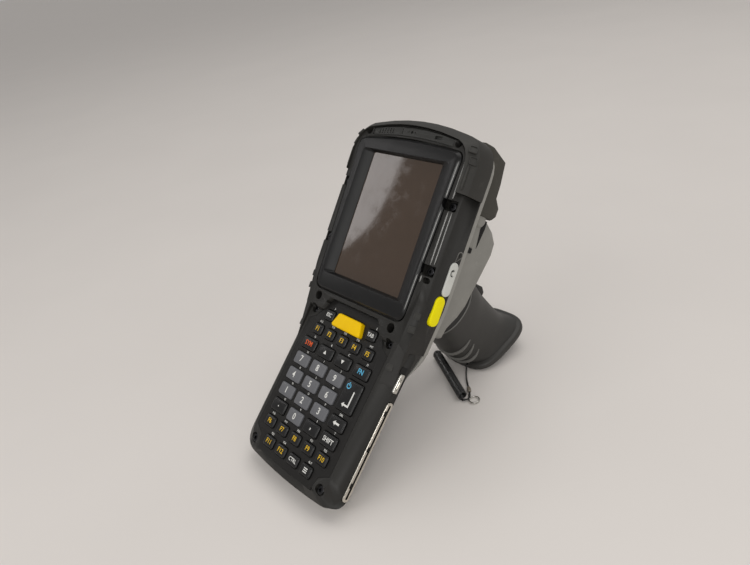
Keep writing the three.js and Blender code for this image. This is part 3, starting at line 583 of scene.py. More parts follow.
def tube(points, radii, sides=16, closed=False):
    """A round tube through points, with a radius at each."""
    shape = bmesh.new()
    count = len(points)
    rows = []
    up = Vector((0, 0, 1))
    for i, point in enumerate(points):
        after = points[(i + 1) % count] if closed or i + 1 < count else point
        before = points[i - 1] if closed or i > 0 else point
        along = (after - before).normalized()
        across = along.cross(up)
        if across.length < 0.05:
            across = along.cross(Vector((1, 0, 0)))
        across.normalize()
        over = across.cross(along)
        ring = []
        for k in range(sides):
            angle = 2 * math.pi * k / sides
            outward = across * math.cos(angle) + over * math.sin(angle)
            ring.append(shape.verts.new(point + radii[i] * outward))
        rows.append(ring)
    if closed:
        rows.append(rows[0])
    join_rows(shape, rows, capped=not closed)
    return shape


RING_MIDDLE = Vector((33.6, -23.6, 0.65))
RING_RADIUS = 3.3
WIRE_RADIUS = 0.4
ring_points = []
for step in range(96):
    angle = 2 * math.pi * step / 48
    lift = 0.45 * math.sin(math.pi * step / 96) ** 2
    around = Vector((RING_RADIUS * math.cos(angle), RING_RADIUS * math.sin(angle), lift))
    ring_points.append(RING_MIDDLE + around)
METAL = {"slot": "ring_metal", "place": TABLE}
ring = piece("split_ring", tube(ring_points, [WIRE_RADIUS] * 96, 10), plated_finish, **METAL)
CRIMP = ((22.3, -16.7, 1.2), (22.6, -16.9, 1.25), (24.2, -18.2, 1.6), (26, -19.7, 1.6), (26.3, -19.95, 1.6))
crimp_shape = tube([Vector(p) for p in CRIMP], [0.75, 1.2, 1.35, 1.2, 0.75])
crimp = piece("cord_crimp", crimp_shape, crimp_finish, **METAL)
LINK = ((27.0, -22.0, 0.9), (28.6, -23.0, 0.9), (30.2, -23.6, 0.9), (30.9, -23.7, 0.9))
link_shape = tube([Vector(p) for p in LINK], [0.45, 0.5, 0.5, 0.4], 10)
link = piece("ring_link", link_shape, plated_finish, **METAL)
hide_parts("tether_ring")
CAP = ((-0.6, 2.2), (-0.2, 2.5), (0.9, 2.4), (1.3, 1.7))  # along the coil, radius
cap_shape = tube([coil_end + axis * along for along, radius in CAP], [radius for along, radius in CAP], 24)
cap = piece("coil_cap_far", cap_shape, cord_finish, slot="cord", place=TABLE)
tuple(TABLE @ cord_line[0])
print("coil cap, crimp, link and ring on the tether")

# %% [markdown]
# ## The housings
# A moulding is never sharp: every outer edge carries a small radius that catches the light. The
# frame's solids have the right walls and holes but crisp edges, so a copy of each is cleaned of
# its flat triangles, cut where the real one has detail, and bevelled.

# %% Reworking a frame node
def from_frame(node, place=UNIT):
    """A frame node's solid in millimetres, without the seams inside its flat faces."""
    shape = bmesh.new()
    shape.from_mesh(frame["nodes"][node].data)
    bmesh.ops.transform(shape, matrix=place.inverted(), verts=shape.verts)
    bmesh.ops.remove_doubles(shape, verts=shape.verts, dist=2e-3)
    bmesh.ops.dissolve_limit(shape, angle_limit=math.radians(1), verts=shape.verts, edges=shape.edges)
    return shape


def extent(node, place=DECK):
    """Lowest and highest corner of a frame node in one of the drawing frames, in millimetres."""
    inverse = place.inverted()
    axes = list(zip(*[inverse @ v.co for v in frame["nodes"][node].data.vertices]))
    return Vector([min(axis) for axis in axes]), Vector([max(axis) for axis in axes])


DECK_IN_UNIT = UNIT.inverted() @ DECK
print("touch glass:", [round(v, 1) for v in extent("touch_glass", UNIT)[1]])

# %% [markdown]
# The bezel is a separate satin frame in a groove of the front housing. The head's side screws
# break through its edge, so their pockets are cut from both pieces with the same tools. A thin
# seam across the keypad's end is cut too, where the end cap of the housing begins.

# %% Bezel and front housing
BEZEL_TOP = 101.2
BEZEL_BOW = 3.8
SIDE_SCREWS = (72.5, 36.4)
SIDE_SCREW_X = 44.2


def notch(y, side):
    """A screw pocket that runs out across the groove to the head's rim, flat at its upper end."""
    rounded_end = ((-4.3, 3.1), (-4.3, 0.3), (-3.9, -1.1), (-3.0, -2.2), (-1.7, -2.9))
    open_end = ((3.0, -2.9), (3.4, -2.4), (3.4, 3.1))
    outline = [Vector((SIDE_SCREW_X + x, y + dy)) for x, dy in rounded_end + open_end]
    if side < 0:
        outline = [Vector((-p.x, p.y)) for p in reversed(outline)]
    return slab(outline, -6, 3)


def notches():
    return [notch(y, side) for y in SIDE_SCREWS for side in (1, -1)]


bezel_shape = softened(cut(from_frame("display_bezel"), *notches()), 0.4, 3)
piece("bezel", bezel_shape, bezel_finish, slot="bezel", stands_for=["display_bezel"])
pocket = rounded_rectangle(1.7, 1.6, 1.2, 4, SIDE_SCREW_X + 1.2, SIDE_SCREWS[1] - 5.2)
end_seam = moved(slab(rounded_rectangle(22, 0.45, 0.4, 3, -3, -98.3), -2.6, 3), DECK_IN_UNIT)
housing_shape = cut(from_frame("front_housing"), *notches(), slab(pocket, -5, 3), end_seam)
housing_shape = softened(housing_shape, 0.35)
piece("front_casing", housing_shape, casing_finish, slot="casing", stands_for=["front_housing"])
print("front casing and bezel made")

# %% [markdown]
# The strip over the bezel hides the loudspeaker and the microphone. Its holes are drilled with a
# boolean, because they are seen from close by and a painted dot has no depth.

# %% Speaker strip
STRIP_HALF_LENGTH = 32.5
STRIP_ABOVE_BEZEL = 4.1
HOLE_PITCH = (2.2, 1.05)


def strip_middle(x):
    """The strip's middle line, which bows with the bezel's upper edge."""
    bow = BEZEL_BOW * (1 - (x / STRIP_HALF_LENGTH) ** 2) / 2
    return BEZEL_TOP + STRIP_ABOVE_BEZEL + 1.3 * bow


holes = []
for column in range(6):
    for row in range(3):
        x = -27.5 + HOLE_PITCH[0] * column
        y = strip_middle(x) + HOLE_PITCH[1] * (row - 1)
        holes.append(slab(disc(x, y, 0.45, 10), -3, 0))
for x, radius in ((-3.4, 0.45), (-0.8, 0.85), (1.8, 0.45)):
    holes.append(slab(disc(x, strip_middle(x), radius, 14), -3, 0))
slot_outline = rounded_rectangle(2.7, 0.95, 0.3, 3, 20.7, strip_middle(20.7))
holes.append(slab(slot_outline, -3, 0))
holes.append(slab(rounded_rectangle(0.25, 1.7, 0.2, 2, -8.5, strip_middle(-8.5)), -1.8, 0))
strip_shape = softened(cut(from_frame("speaker_panel"), *holes), 0.15, 2, 50)
piece("speaker_strip", strip_shape, strip_finish, slot="casing", stands_for=["speaker_panel"])
print("holes in the strip:", len(holes))

# %% [markdown]
# The other shells need only their edges rounded: rubber by the most, the thin keypad plate by the
# least. A table of names, widths and finishes keeps them to one loop.

# %% Other housings
REWORKED = (
    ("keypad_plate", "keypad_faceplate", 0.2, plate_finish, "casing"),
    ("bumper", "top_bumper", 0.5, bumper_finish, "rubber"),
    ("back_casing", "rear_housing", 0.5, rear_finish, "rear_casing"),
    ("pod", "scanner_pod", 0.7, pod_finish, "rubber"),
    # the bracket takes the darker grey of painted shade
    ("bracket", "grip_bracket", 0.8, bracket_shaded_finish, "rear_casing"),
    ("battery", "battery_pack", 0.6, battery_finish, "battery"),
)
for name, node, width, finish, slot_name in REWORKED:
    piece(name, softened(from_frame(node), width, 3), finish, slot=slot_name, stands_for=[node])
print("reworked", len(REWORKED))

# %% [markdown]
# Where the wide head meets the narrow deck, the moulding flows from one wall into the other. That
# is a loft: a few points of the head's section slide to the deck's, slowly at both ends. The
# cheeks close against the shells on both sides.

# %% Cheeks
def cheek(side, head_section, deck_section, head_y, deck_y, steps=10):
    """A smooth wedge that leads the head's side wall into the keypad deck's."""
    rows = []
    for step in range(steps + 1):
        t = step / steps
        eased = t * t * (3 - 2 * t)
        y = head_y + (deck_y - head_y) * t
        rows.append([Vector((side * (a[0] + (b[0] - a[0]) * eased), y, a[1] + (b[1] - a[1]) * eased))
                     for a, b in zip(head_section, deck_section)])
    return softened(lofted(rows), 0.5, 3, 35)


FRONT_CHEEK = (
    [(38.5, -1.3), (42.2, -1.3), (45.4, -4.9), (45.6, -19.8), (38.5, -19.8)],
    [(38.4, 0.05), (38.7, 0.05), (45.35, -5.25), (45.35, -10.9), (38.5, -10.9)],
)
REAR_CHEEK = (
    [(34, -20.2), (45.1, -20.2), (44.4, -24), (38.4, -30.8), (34, -30.8)],
    [(34, -11.2), (44.6, -11.2), (39.6, -16.6), (31.8, -25.4), (31, -25.4)],
)
front_cheeks = together(*[cheek(side, *FRONT_CHEEK, -3.0, -30.0) for side in (1, -1)])
piece("front_cheeks", front_cheeks, casing_finish, slot="casing")
rear_cheeks = together(*[cheek(side, *REAR_CHEEK, -7.5, -31.5) for side in (1, -1)])
piece("rear_cheeks", rear_cheeks, rear_finish, slot="rear_casing")
print("cheeks made")

# %% [markdown]
# The trigger is the same kind of moulding with a larger radius, and it rides on its own body.
# Pieces that sit behind others, such as the display panel and the board, keep the frame's mesh
# and get only a finish.

# %% Trigger and the nodes carried over
TRIGGER = "grip_trigger"
trigger_shape = softened(from_frame(TRIGGER), 1.2, 4)
piece("trigger", trigger_shape, trigger_finish, body=TRIGGER, slot="grip", stands_for=[TRIGGER])
CARRIED_OVER = {
    "keypad_mat": black_and_shade_finish,
    "lcd_panel": panel_finish,
    "main_board": board_finish,
    "scan_engine": panel_finish,
    "scanner_window": lens_finish,
    "touch_glass": screen_finish,
}
for node, finish in CARRIED_OVER.items():
    carried = frame["nodes"][node]
    carried.data.materials.clear()
    carried.data.materials.append(finish)
print("carried over", len(CARRIED_OVER))

# %% [markdown]
# ## Keypad
# The lettering is a thin layer of ink on each key, which moves with its key. Text objects give
# the outlines of the letters, and a mesh made from them can be scaled and laid on a cap. Arrows
# and bars are small polygons of the same thickness.

# %% Lettering and symbols
INK_THICKNESS = 0.012
INK_LIFT = 0.02
BOLDNESS = 0.014


def lettering(text, x, y, size, stretch=1.0):
    """Text as a bmesh, centred on a point."""
    font = bpy.data.curves.new("lettering", "FONT")
    font.body = text
    font.size = size
    font.align_x = "CENTER"
    font.align_y = "CENTER"
    font.resolution_u = 3
    font.offset = BOLDNESS * size
    font.extrude = INK_THICKNESS
    holder = linked("lettering", font)
    graph = bpy.context.evaluated_depsgraph_get()
    mesh = bpy.data.meshes.new_from_object(holder.evaluated_get(graph))
    bpy.data.objects.remove(holder)
    shape = bmesh.new()
    shape.from_mesh(mesh)
    return moved(shape, Matrix.Translation((x, y, 0)) @ Matrix.Diagonal((stretch, 1, 1, 1)))


def symbol(points, x=0.0, y=0.0, size=1.0):
    """A filled polygon as thick as the lettering."""
    outline = [Vector((x + size * px, y + size * py)) for px, py in points]
    return slab(outline, -INK_THICKNESS, INK_THICKNESS)


ARROW_UP = ((-1, -0.8), (1, -0.8), (0, 0.9))
ARROW_DOWN = ((1, 0.8), (-1, 0.8), (0, -0.9))
ARROW_LEFT = (
    (-2.3, 0), (-0.6, 1.3), (-0.6, 0.5), (2.3, 0.5), (2.3, -0.5), (-0.6, -0.5), (-0.6, -1.3),
)
RETURN_ARROW = (
    (-3.4, -4.2), (-1.6, -5.6), (-1.6, -4.7), (2.5, -4.7), (2.5, 4.6),
    (1.6, 4.6), (1.6, -3.7), (-1.6, -3.7), (-1.6, -2.8),
)


def printed(name, shapes, ink, height, body="unit"):
    """Ink laid on a key or on the plate, in the keypad deck's frame."""
    whole = moved(together(*shapes), Matrix.Translation((0, 0, height + INK_LIFT)))
    return piece(name, whole, ink_finishes[ink], body=body, place=DECK)


print("inks:", ", ".join(ink_finishes))

# %% [markdown]
# Each key is a hard cap on a rubber dome, with a generous radius round its top so that a gloved
# finger finds it. The caps take their sizes from the frame: straight sides, a quarter round in
# five steps and a top that is very slightly domed.

# %% Key caps
KEY_ROUNDING = 0.85
KEY_CORNER = 1.3
DOME = 0.15
DOME_EDGE = 0.03
GREY_KEYS = set("0123456789")
DECK_KEYS = sorted(name for name in frame["nodes"] if name.startswith("key_") and name != "key_scan")
key_tops = {}
for node in DECK_KEYS:
    low, high = extent(node)
    middle = (low + high) / 2
    half = (high - low) / 2
    outline = rounded_rectangle(half.x, half.y, KEY_CORNER, 5, middle.x, middle.y)
    levels = [(outline, low.z), (outline, high.z - KEY_ROUNDING - DOME)]
    for step in range(1, 6):
        angle = math.pi / 2 * step / 5
        inward = KEY_ROUNDING * (1 - math.cos(angle))
        below = KEY_ROUNDING * (1 - math.sin(angle))
        levels.append((drawn_in(outline, inward), high.z - DOME - below))
    levels.append((drawn_in(outline, KEY_ROUNDING + 0.35), high.z - DOME_EDGE))
    is_grey = node[4:] in GREY_KEYS
    finish = key_grey_finish if is_grey else key_black_finish
    slot_name = "key_grey" if is_grey else "key_black"
    riding = {"body": node, "slot": slot_name, "stands_for": [node], "place": DECK}
    piece(node + "_cap", stacked(levels), finish, **riding)
    key_tops[node[4:]] = Vector((middle.x, middle.y, high.z - DOME_EDGE))
print("key caps:", len(key_tops))

# %% [markdown]
# The scan key is the one that is pressed all day, so it is large, yellow and stands above the
# rest. Seen from above it is a trapezoid with rounded corners. It is drawn for one half, and the
# other half is that one mirrored.

# %% Scan key
low, high = extent("key_scan")
middle = (low + high) / 2
WIDE, NARROW = 12.9, 10.6
SCAN_HALF = (
    (WIDE - 1.5, -4.3), (WIDE - 0.5, -3.95), (WIDE, -3.0), (WIDE - 0.3, -2.0),
    (NARROW + 0.3, 2.4), (NARROW - 0.1, 3.7), (NARROW - 1.5, 4.3),
)
scan_corners = [*SCAN_HALF, *[(-x, y) for x, y in reversed(SCAN_HALF)]]
scan_outline = [Vector((middle.x + x, middle.y + y)) for x, y in scan_corners]
scan_shape = pillow(scan_outline, low.z, high.z, 1.1, 5)
riding = {"body": "key_scan", "slot": "key_yellow", "stands_for": ["key_scan"], "place": DECK}
piece("scan_cap", scan_shape, key_yellow_finish, **riding)
print("scan key:", [round(v, 1) for v in high - low])

# %% [markdown]
# Function keys are printed in gold, digits and words in white, and the two shift-like keys in
# orange and blue, so that a user finds the second meaning of a key by its colour. The legends
# are placed by their key's middle and its height.

# %% Legends on the keys
WORDS = [("f%d" % i, "F%d" % i, 3.9, "gold") for i in range(1, 13)]
WORDS += [(digit, digit, 5.4, "white") for digit in "0123456789"]
WORDS += [
    ("esc", "ESC", 3.2, "white"), ("tab", "TAB", 3.2, "white"), ("sym", "SYM", 4.1, "orange"),
    ("fn", "FN", 4.2, "blue"), ("shift", "SHIFT", 3.9, "white"), ("ctrl", "CTRL", 3.2, "white"),
    ("point", ".", 6.0, "white"), ("comma", ",", 6.0, "white"),
]
LETTER_WIDTH = 0.9
for key, word, size, ink in WORDS:
    top = key_tops[key]
    rise = 1.3 if word in ".," else 0.0
    letters = lettering(word, top.x, top.y + rise, size, LETTER_WIDTH)
    printed("legend_" + key, [letters], ink, top.z, "key_" + key)
SYMBOLS = {"up": ARROW_UP, "down": ARROW_DOWN, "delete": ARROW_LEFT}
for key, points in SYMBOLS.items():
    top = key_tops[key]
    shape = symbol(points, top.x, top.y, 1.15 if key == "delete" else 1.3)
    printed("legend_" + key, [shape], "white", top.z, "key_" + key)
enter = key_tops["enter"]
return_arrow = symbol(RETURN_ARROW, enter.x + 0.4, enter.y - 0.9)
printed("legend_enter", [return_arrow], "white", enter.z, "key_enter")
POWER_X, POWER_Y = enter.x - 3.4, enter.y + 5.3


def ring_part(start, stop, inner=1.2, outer=1.75):
    corners = ((stop, inner), (stop, outer), (start, outer), (start, inner))
    return symbol([(r * math.cos(a), r * math.sin(a)) for a, r in corners], POWER_X, POWER_Y)


power = []
for step in range(9):
    start = math.radians(120 + 33.3 * step)
    power.append(ring_part(start, start + math.radians(34)))
power.append(symbol(((-0.25, 0.1), (0.25, 0.1), (0.25, 2.2), (-0.25, 2.2)), POWER_X, POWER_Y))
printed("legend_power", power, "blue", enter.z, "key_enter")
menu = key_tops["menu"]
BAR = ((-1.6, -0.3), (1.6, -0.3), (1.6, 0.3), (-1.6, 0.3))
bars = [symbol(BAR, menu.x, menu.y + y) for y in (-1.1, 0, 1.1)]
printed("legend_menu", bars, "white", menu.z, "key_menu")
print("legends on", len(WORDS) + len(SYMBOLS) + 2, "keys")

# %% [markdown]
# The plate carries what each key gives with a shift key held: letters, the higher function keys
# and two words. They are all one piece, because they never move.

# %% Small print on the plate
PLATE_TOP = -1.2
SMALL = 1.75
SMALL_KEY_REACH = 4.7
LARGE_KEY_REACH = 5.1
small_print = []
for i in range(1, 13):
    top = key_tops["f%d" % i]
    above = lettering("F%d" % (i + 12), top.x - 0.6, top.y + SMALL_KEY_REACH, SMALL)
    small_print.append(above)
LETTERS = {
    "esc": "A", "up": "B", "down": "C", "fn": "D", "tab": "E", "sym": "G", "7": "H", "8": "I", "9": "J",
    "4": "K", "5": "L", "6": "M", "1": "N", "2": "O", "3": "P", "point": "Q", "0": "R", "comma": "S",
    "shift": "T",
}
for key, letter in LETTERS.items():
    top = key_tops[key]
    reach = SMALL_KEY_REACH if key in ("esc", "tab") else LARGE_KEY_REACH
    small_print.append(lettering(letter, top.x + 1.5, top.y + reach, SMALL))
for key, word, reach in (("delete", "DEL", LARGE_KEY_REACH), ("menu", "ALT", SMALL_KEY_REACH)):
    top = key_tops[key]
    small_print.append(lettering(word, top.x, top.y + reach, SMALL))
printed("plate_print", small_print, "white", PLATE_TOP)
print("small print:", len(small_print))

# %% [markdown]
# ## Screws
# Black star-headed screws sit at the bottom of deep pockets. The head is a short turned disc with
# a rounded rim, and the star is cut into it.

# %% Screws
STAR_POINTS = 6


def screw(radius):
    head = pillow(disc(0, 0, radius, 28), 0, 1.5, 0.35, 3)
    turns = [2 * math.pi * i / 48 for i in range(48)]
    star = [Vector((math.cos(a), math.sin(a))) * radius * (0.46 + 0.1 * math.cos(STAR_POINTS * a))
            for a in turns]
    return cut(head, slab(star, 0.5, 3))


LEVEL = Matrix.Identity(4)
SCREWS = (  # across, along, floor of the pocket, radius, frame
    (36.6, 105.6, -6, 2.0, LEVEL),
    (SIDE_SCREW_X, SIDE_SCREWS[0], -6, 2.4, LEVEL),
    (SIDE_SCREW_X, SIDE_SCREWS[1], -6, 2.4, LEVEL),
    (33, 0.2, -3.8, 2.1, DECK_IN_UNIT),
    (34.2, -8, -3.8, 2.1, DECK_IN_UNIT),
    (33.4, -94.4, -3.8, 2.4, DECK_IN_UNIT),
)
screw_shapes = []
for x, y, pocket_floor, radius, screw_frame in SCREWS:
    for side in (1, -1):
        spot = Matrix.Translation((side * x, y, pocket_floor + 0.05))
        turned = Matrix.Rotation(0.4 * side + y, 4, "Z")
        screw_shapes.append(moved(screw(radius), screw_frame @ spot @ turned))
piece("housing_screws", together(*screw_shapes), screw_finish, slot="ring_metal")
print("screws:", len(screw_shapes))

# %% [markdown]
# ## Side controls
# On the head's side walls sit a yellow button, a grey rubber cover over a socket, and lower down
# a steel rail. They are drawn flat, as seen from the side, and the frame below stands them up.

# %% Side frames
def on_side(side, base=UNIT):
    """A frame whose X runs along the unit, Y up through its depth and Z out of that side."""
    return base @ facing_frame((0, side, 0), (0, 0, 1), (side, 0, 0))


def stadium(length, height, x=0.0, y=0.0, steps=10):
    """A bar with nearly half-round ends. Booleans fail where the points of a full one almost meet."""
    return rounded_rectangle(length / 2, height / 2, height / 2 - 0.12, steps, x, y)


HEAD_SIDE = 48.6
BUTTON_PLACE = (17, -14.6)
COVER_PLACE = (35.5, -16.6)
RIGHT = on_side(1)
for side, name in ((1, "right"), (-1, "left")):
    outline = stadium(17, 7.4, side * BUTTON_PLACE[0], BUTTON_PLACE[1])
    button = pillow(outline, HEAD_SIDE - 2.6, HEAD_SIDE + 1, 0.9, 5)
    node = "side_button_" + name
    riding = {"body": node, "slot": "button_yellow", "stands_for": [node], "place": on_side(side)}
    piece(name + "_button", button, button_finish, **riding)
cover = pillow(stadium(19.4, 6.4, *COVER_PLACE), HEAD_SIDE - 2.8, HEAD_SIDE + 0.7, 0.8, 4)
hollow = arc(39.2, -16.3, 2.1, 1.9, -30, 210) + arc(39.0, -17.1, 1.2, 1.2, 210, -30)
# Painted shade: a dark plate fills the floor of the cover's finger hollow, where shadow falls.
hollow_floor = slab(drawn_in(hollow, 0.1), HEAD_SIDE - 1.65, HEAD_SIDE - 0.3)
piece("cover_hollow", hollow_floor, black_and_shade_finish, slot="port_cover", place=RIGHT)
cover = cut(cover, slab(hollow, HEAD_SIDE - 1.6, HEAD_SIDE + 3))
piece("socket_cover", cover, cover_finish, slot="port_cover", stands_for=["port_cover"], place=RIGHT)
print("buttons and cover made")

# %% [markdown]
# The rail is a steel loop pressed into the deck's side. A holster clips into it, so its middle is
# open and has three small notches. Over it sits the plated clip of the hand strap. The dark
# pieces behind both are painted shade: thin plates that stand for the shadow in the gaps.

# %% Rail
DECK_RIGHT = on_side(1, DECK)
RAIL_PLACE = (-65, -9.6)
RAIL_SIDE = 46.3
CLIP_PLACE = (-25.2, -8.2)
rail_cuts = [slab(stadium(54.9, 1.5, *RAIL_PLACE, 6), RAIL_SIDE - 3, RAIL_SIDE + 3)]
for along in (-42.5, -63.5, -84.5):
    rail_notch = rounded_rectangle(1.5, 1.0, 0.3, 2, along, RAIL_PLACE[1] + 0.9)
    rail_cuts.append(slab(rail_notch, RAIL_SIDE - 0.9, RAIL_SIDE + 3))
rail_shape = pillow(stadium(58, 4.6, *RAIL_PLACE, 8), RAIL_SIDE - 1.8, RAIL_SIDE, 0.35, 3)
rail_shape = cut(rail_shape, *rail_cuts)
STEEL = {"slot": "rail_metal", "place": DECK_RIGHT}
piece("rail", rail_shape, rail_finish, stands_for=["side_rail"], **STEEL)
# Painted shade: a dark plate behind the rail's open middle, and another beside the clip.
rail_back = slab(stadium(55.5, 2.2, *RAIL_PLACE, 6), RAIL_SIDE - 1.9, RAIL_SIDE - 1.3)
piece("rail_slot", rail_back, black_and_shade_finish, **STEEL)
clip = pillow(rounded_rectangle(5.6, 1.7, 0.8, 4, *CLIP_PLACE), 45.2, 46.7, 0.5, 3)
clip = cut(clip, slab(rounded_rectangle(3.4, 0.4, 0.3, 2, -25.6, -8.0), 46.2, 48))
piece("side_clip", clip, plated_finish, **STEEL)
clip_gap = slab(rounded_rectangle(2.4, 2.3, 0.9, 4, -18.0, -8.0), 45.3, 45.7)
piece("side_clip_gap", clip_gap, black_and_shade_finish, slot="casing", place=DECK_RIGHT)
print("rail and clip made")

# %% [markdown]
# ## Small mouldings
# The bright lines on the rims beside the display are painted highlights, in place of the light
# that their rounded edges catch. They could be a mask in the material, but they stay sharp as
# geometry: thin pale tubes, sunk halfway into an edge and tapered at both ends.

# %% Painted highlight rims
def bezel_edge(y):
    """The middle of the bezel's chamfer on its right side."""
    return Vector((41.25 - 0.031 * (95.2 - y), y, -0.72))


def rim(start, stop, edge, radius, steps=12):
    spots = [edge(start + (stop - start) * i / steps) for i in range(steps + 1)]
    return tube(spots, [radius * min(1, 0.3 + min(i, steps - i)) for i in range(steps + 1)], 10)


def straight(x, z):
    """An edge that runs along the unit."""
    return lambda y: Vector((x, y, z))


RIMS = (  # start and stop along the unit, edge, radius, steps
    (96.0, 75.9, bezel_edge, 0.42),
    (69.5, 39.8, bezel_edge, 0.36),
    (33.3, 12.5, bezel_edge, 0.36),
    (98.5, 76.2, straight(45.15, -1.25), 0.4),
    (69.2, 39.8, straight(45.2, -1.3), 0.38),
    (69.2, 40.2, straight(46.6, -2.75), 0.34),
    (33.2, 29.5, straight(42.2, -1.15), 0.4, 4),
)
rims = [rim(*values) for values in RIMS]
piece("painted_highlight_rims", together(*rims), highlight_edge_finish, slot="bezel")
print("rims:", len(rims))

# %% [markdown]
# The rubber carries square pips that locate it in a holster. Each is a little frame, set square
# to the face that it stands on by a matrix made from that face's normal. They are the same on
# both sides, so a loop mirrors them.

# %% Pips and rubber pads
def facing(spot, normal):
    """A frame at a spot whose Z points along a normal and whose Y runs along the unit."""
    out = Vector(normal).normalized()
    across = Vector((0, 1, 0)).cross(out).normalized()
    return Matrix.Translation(spot) @ facing_frame(across, out.cross(across), out)


def pip(half, height=0.3):
    dish = slab(rounded_rectangle(half - 0.55, half - 0.55, 0.4, 3), 0.02, 2)
    return cut(pillow(rounded_rectangle(half, half, 0.7, 4), -0.5, height, 0.15, 2), dish)


SIDE_PIPS = (
    ((46.8, 11.9, -3.1), (0.72, 0, 0.69)), ((46.3, 4.2, -2.9), (0.72, 0, 0.69)),
    ((42.0, -12.0, -2.9), (0.6, 0.1, 0.79)), ((41.4, -19.0, -1.4), (0.6, 0.13, 0.79)),
)
BUMPER_PIPS = (((48.3, 98.0, -3.4), (0.75, 0.25, 0.6)), ((46.2, 103.9, -3.0), (0.6, 0.5, 0.6)))
mirrored = Matrix.Diagonal((-1, 1, 1)).to_3x3()
pips, bumper_pips = [], []
for flip in (Matrix.Identity(3), mirrored):
    for spot, normal in SIDE_PIPS:
        pips.append(moved(pip(1.9), facing(flip @ Vector(spot), flip @ Vector(normal))))
    for spot, normal in BUMPER_PIPS:
        bumper_pips.append(moved(pip(2.3, 0.4), facing(flip @ Vector(spot), flip @ Vector(normal))))
    ridge = [flip @ Vector((47.2, 81.6 + 1.5 * i, -2.5)) for i in range(10)]
    bumper_pips.append(tube(ridge, [0.7] + [1.15] * 8 + [0.7], 14))
piece("side_pips", together(*pips), bumper_finish, slot="rubber")
piece("bumper_pips", together(*bumper_pips), bumper_finish, slot="rubber")
pad_outline = rounded_rectangle(4.2, 6.0, 1.2, 4, -32.0, -11.8)
left_pad = pillow(pad_outline, HEAD_SIDE - 0.5, HEAD_SIDE + 1.3, 0.7, 3)
piece("left_pad", left_pad, bumper_finish, slot="rubber", place=on_side(-1))
print("pips:", len(pips) + len(bumper_pips))

# %% [markdown]
# A drop-shaped mark beside the cover shows what is behind it. It is three thin plates, each a
# hair higher than the last: a pale edge, a dark face and the mark on it. The pale edge is a painted
# highlight of the light on the raised rim.

# %% Teardrop beside the socket cover
def teardrop(scale):
    tip, middle = Vector((45.0, -15.6)), Vector((49.6, -18.0))
    to_tip = math.degrees(math.atan2(tip.y - middle.y, tip.x - middle.x))
    round_end = arc(*middle, 2.1 * scale, 2.1 * scale, to_tip + 60, to_tip + 300)
    return [*round_end, middle + (tip - middle) * (0.55 + 0.45 * scale)]


MARK = [Vector((48.2, -17.9)), Vector((50.6, -17.6)), Vector((49.2, -16.6))]
TEARDROP = (
    ("edge", slab(teardrop(1.0), HEAD_SIDE - 0.3, HEAD_SIDE + 0.12), ridge_highlight_finish),
    ("face", slab(teardrop(0.72), HEAD_SIDE - 0.2, HEAD_SIDE + 0.22), casing_finish),
    ("mark", slab(MARK, HEAD_SIDE - 0.2, HEAD_SIDE + 0.3), black_and_shade_finish),
)
for name, shape, finish in TEARDROP:
    piece("teardrop_" + name, shape, finish, slot="casing", place=RIGHT)
print("teardrop made")

# %% [markdown]
# On each side of the bracket stand a bar and a round boss, in the bracket's grey, darkened as
# painted shade, beside a gap that shows only as shadow. The gap is a thin dark plate of painted
# shadow, because nothing is seen in it.

# %% Bracket fittings
GAP = ((57.5, -55.4), (60, -56.0), (70.5, -57.4), (75, -57.2), (75, -53.4), (69, -53.4))
for side, name in ((1, "right"), (-1, "left")):
    here = {"slot": "rear_casing", "place": on_side(side)}
    bar = pillow(rounded_rectangle(9.2, 2.1, 0.8, 4, side * 66.2, -49.6), 26.6, 28.0, 0.5, 3)
    boss = pillow(disc(side * 74.0, -49.4, 4.6, 32), 26.6, 29.4, 2.0, 6)
    piece(name + "_bracket_bar", together(bar, boss), bracket_shaded_finish, **here)
    gap = [Vector((side * along, depth)) for along, depth in GAP]
    gap_plate = slab(gap if side < 0 else gap[::-1], 26.7, 27.15)
    notch_plate = slab(rounded_rectangle(1.6, 1.7, 0.5, 3, side * 55.2, -50.0), 26.8, 27.5)
    piece(name + "_bracket_gap", together(gap_plate, notch_plate), black_and_shade_finish, **here)
print("bracket fittings made")

# %% [markdown]
# ## Grip
# The handle is a soft rubber sleeve whose section changes all the way down: an oval collar, a
# waist for the fingers and a squared foot. A loft through cross-sections gives that shape, and
# smooth curves between the few sections keep it from looking faceted.

# %% Grip sections
def foot_section(above, drawn):
    y = FOOT_MIDDLE[0] - math.sin(FOOT_RAKE) * above
    z = FOOT_MIDDLE[1] + math.cos(FOOT_RAKE) * above
    return (y, z, 22.4 - drawn, FOOT_HALF_LENGTH - drawn, FOOT_RAKE, 3.2)


collar_slope = math.atan2(-13, 42)
SLEEVE = [  # along, depth, half width, half length, slope and how square it is
    (20, -69.5, 20.8, 22.2, collar_slope, 2.2),
    (15.5, -85, 19.5, 23.6, -0.2, 2.1),
    (10.5, -98, 18, 23.2, -0.17, 2.1),
    (6, -111, 17.5, 22.6, -0.35, 2.2),
    (3.6, -120, 17.8, 23, -0.55, 2.4),
    foot_section(4.5, 3),
]
RING_SIDES = 72


def section_point(section, turn_angle, out=0.0):
    """A point round a section. Power 2 gives an ellipse, and a higher power squares it."""
    y, z, half_x, half_y, slope, power = section
    c, s = math.cos(turn_angle), math.sin(turn_angle)
    across = (half_x + out) * math.copysign(abs(c) ** (2 / power), c)
    along = (half_y + out) * math.copysign(abs(s) ** (2 / power), s)
    return Vector((across, y + math.cos(slope) * along, z + math.sin(slope) * along))


def section_ring(section):
    return [section_point(section, 2 * math.pi * i / RING_SIDES) for i in range(RING_SIDES)]


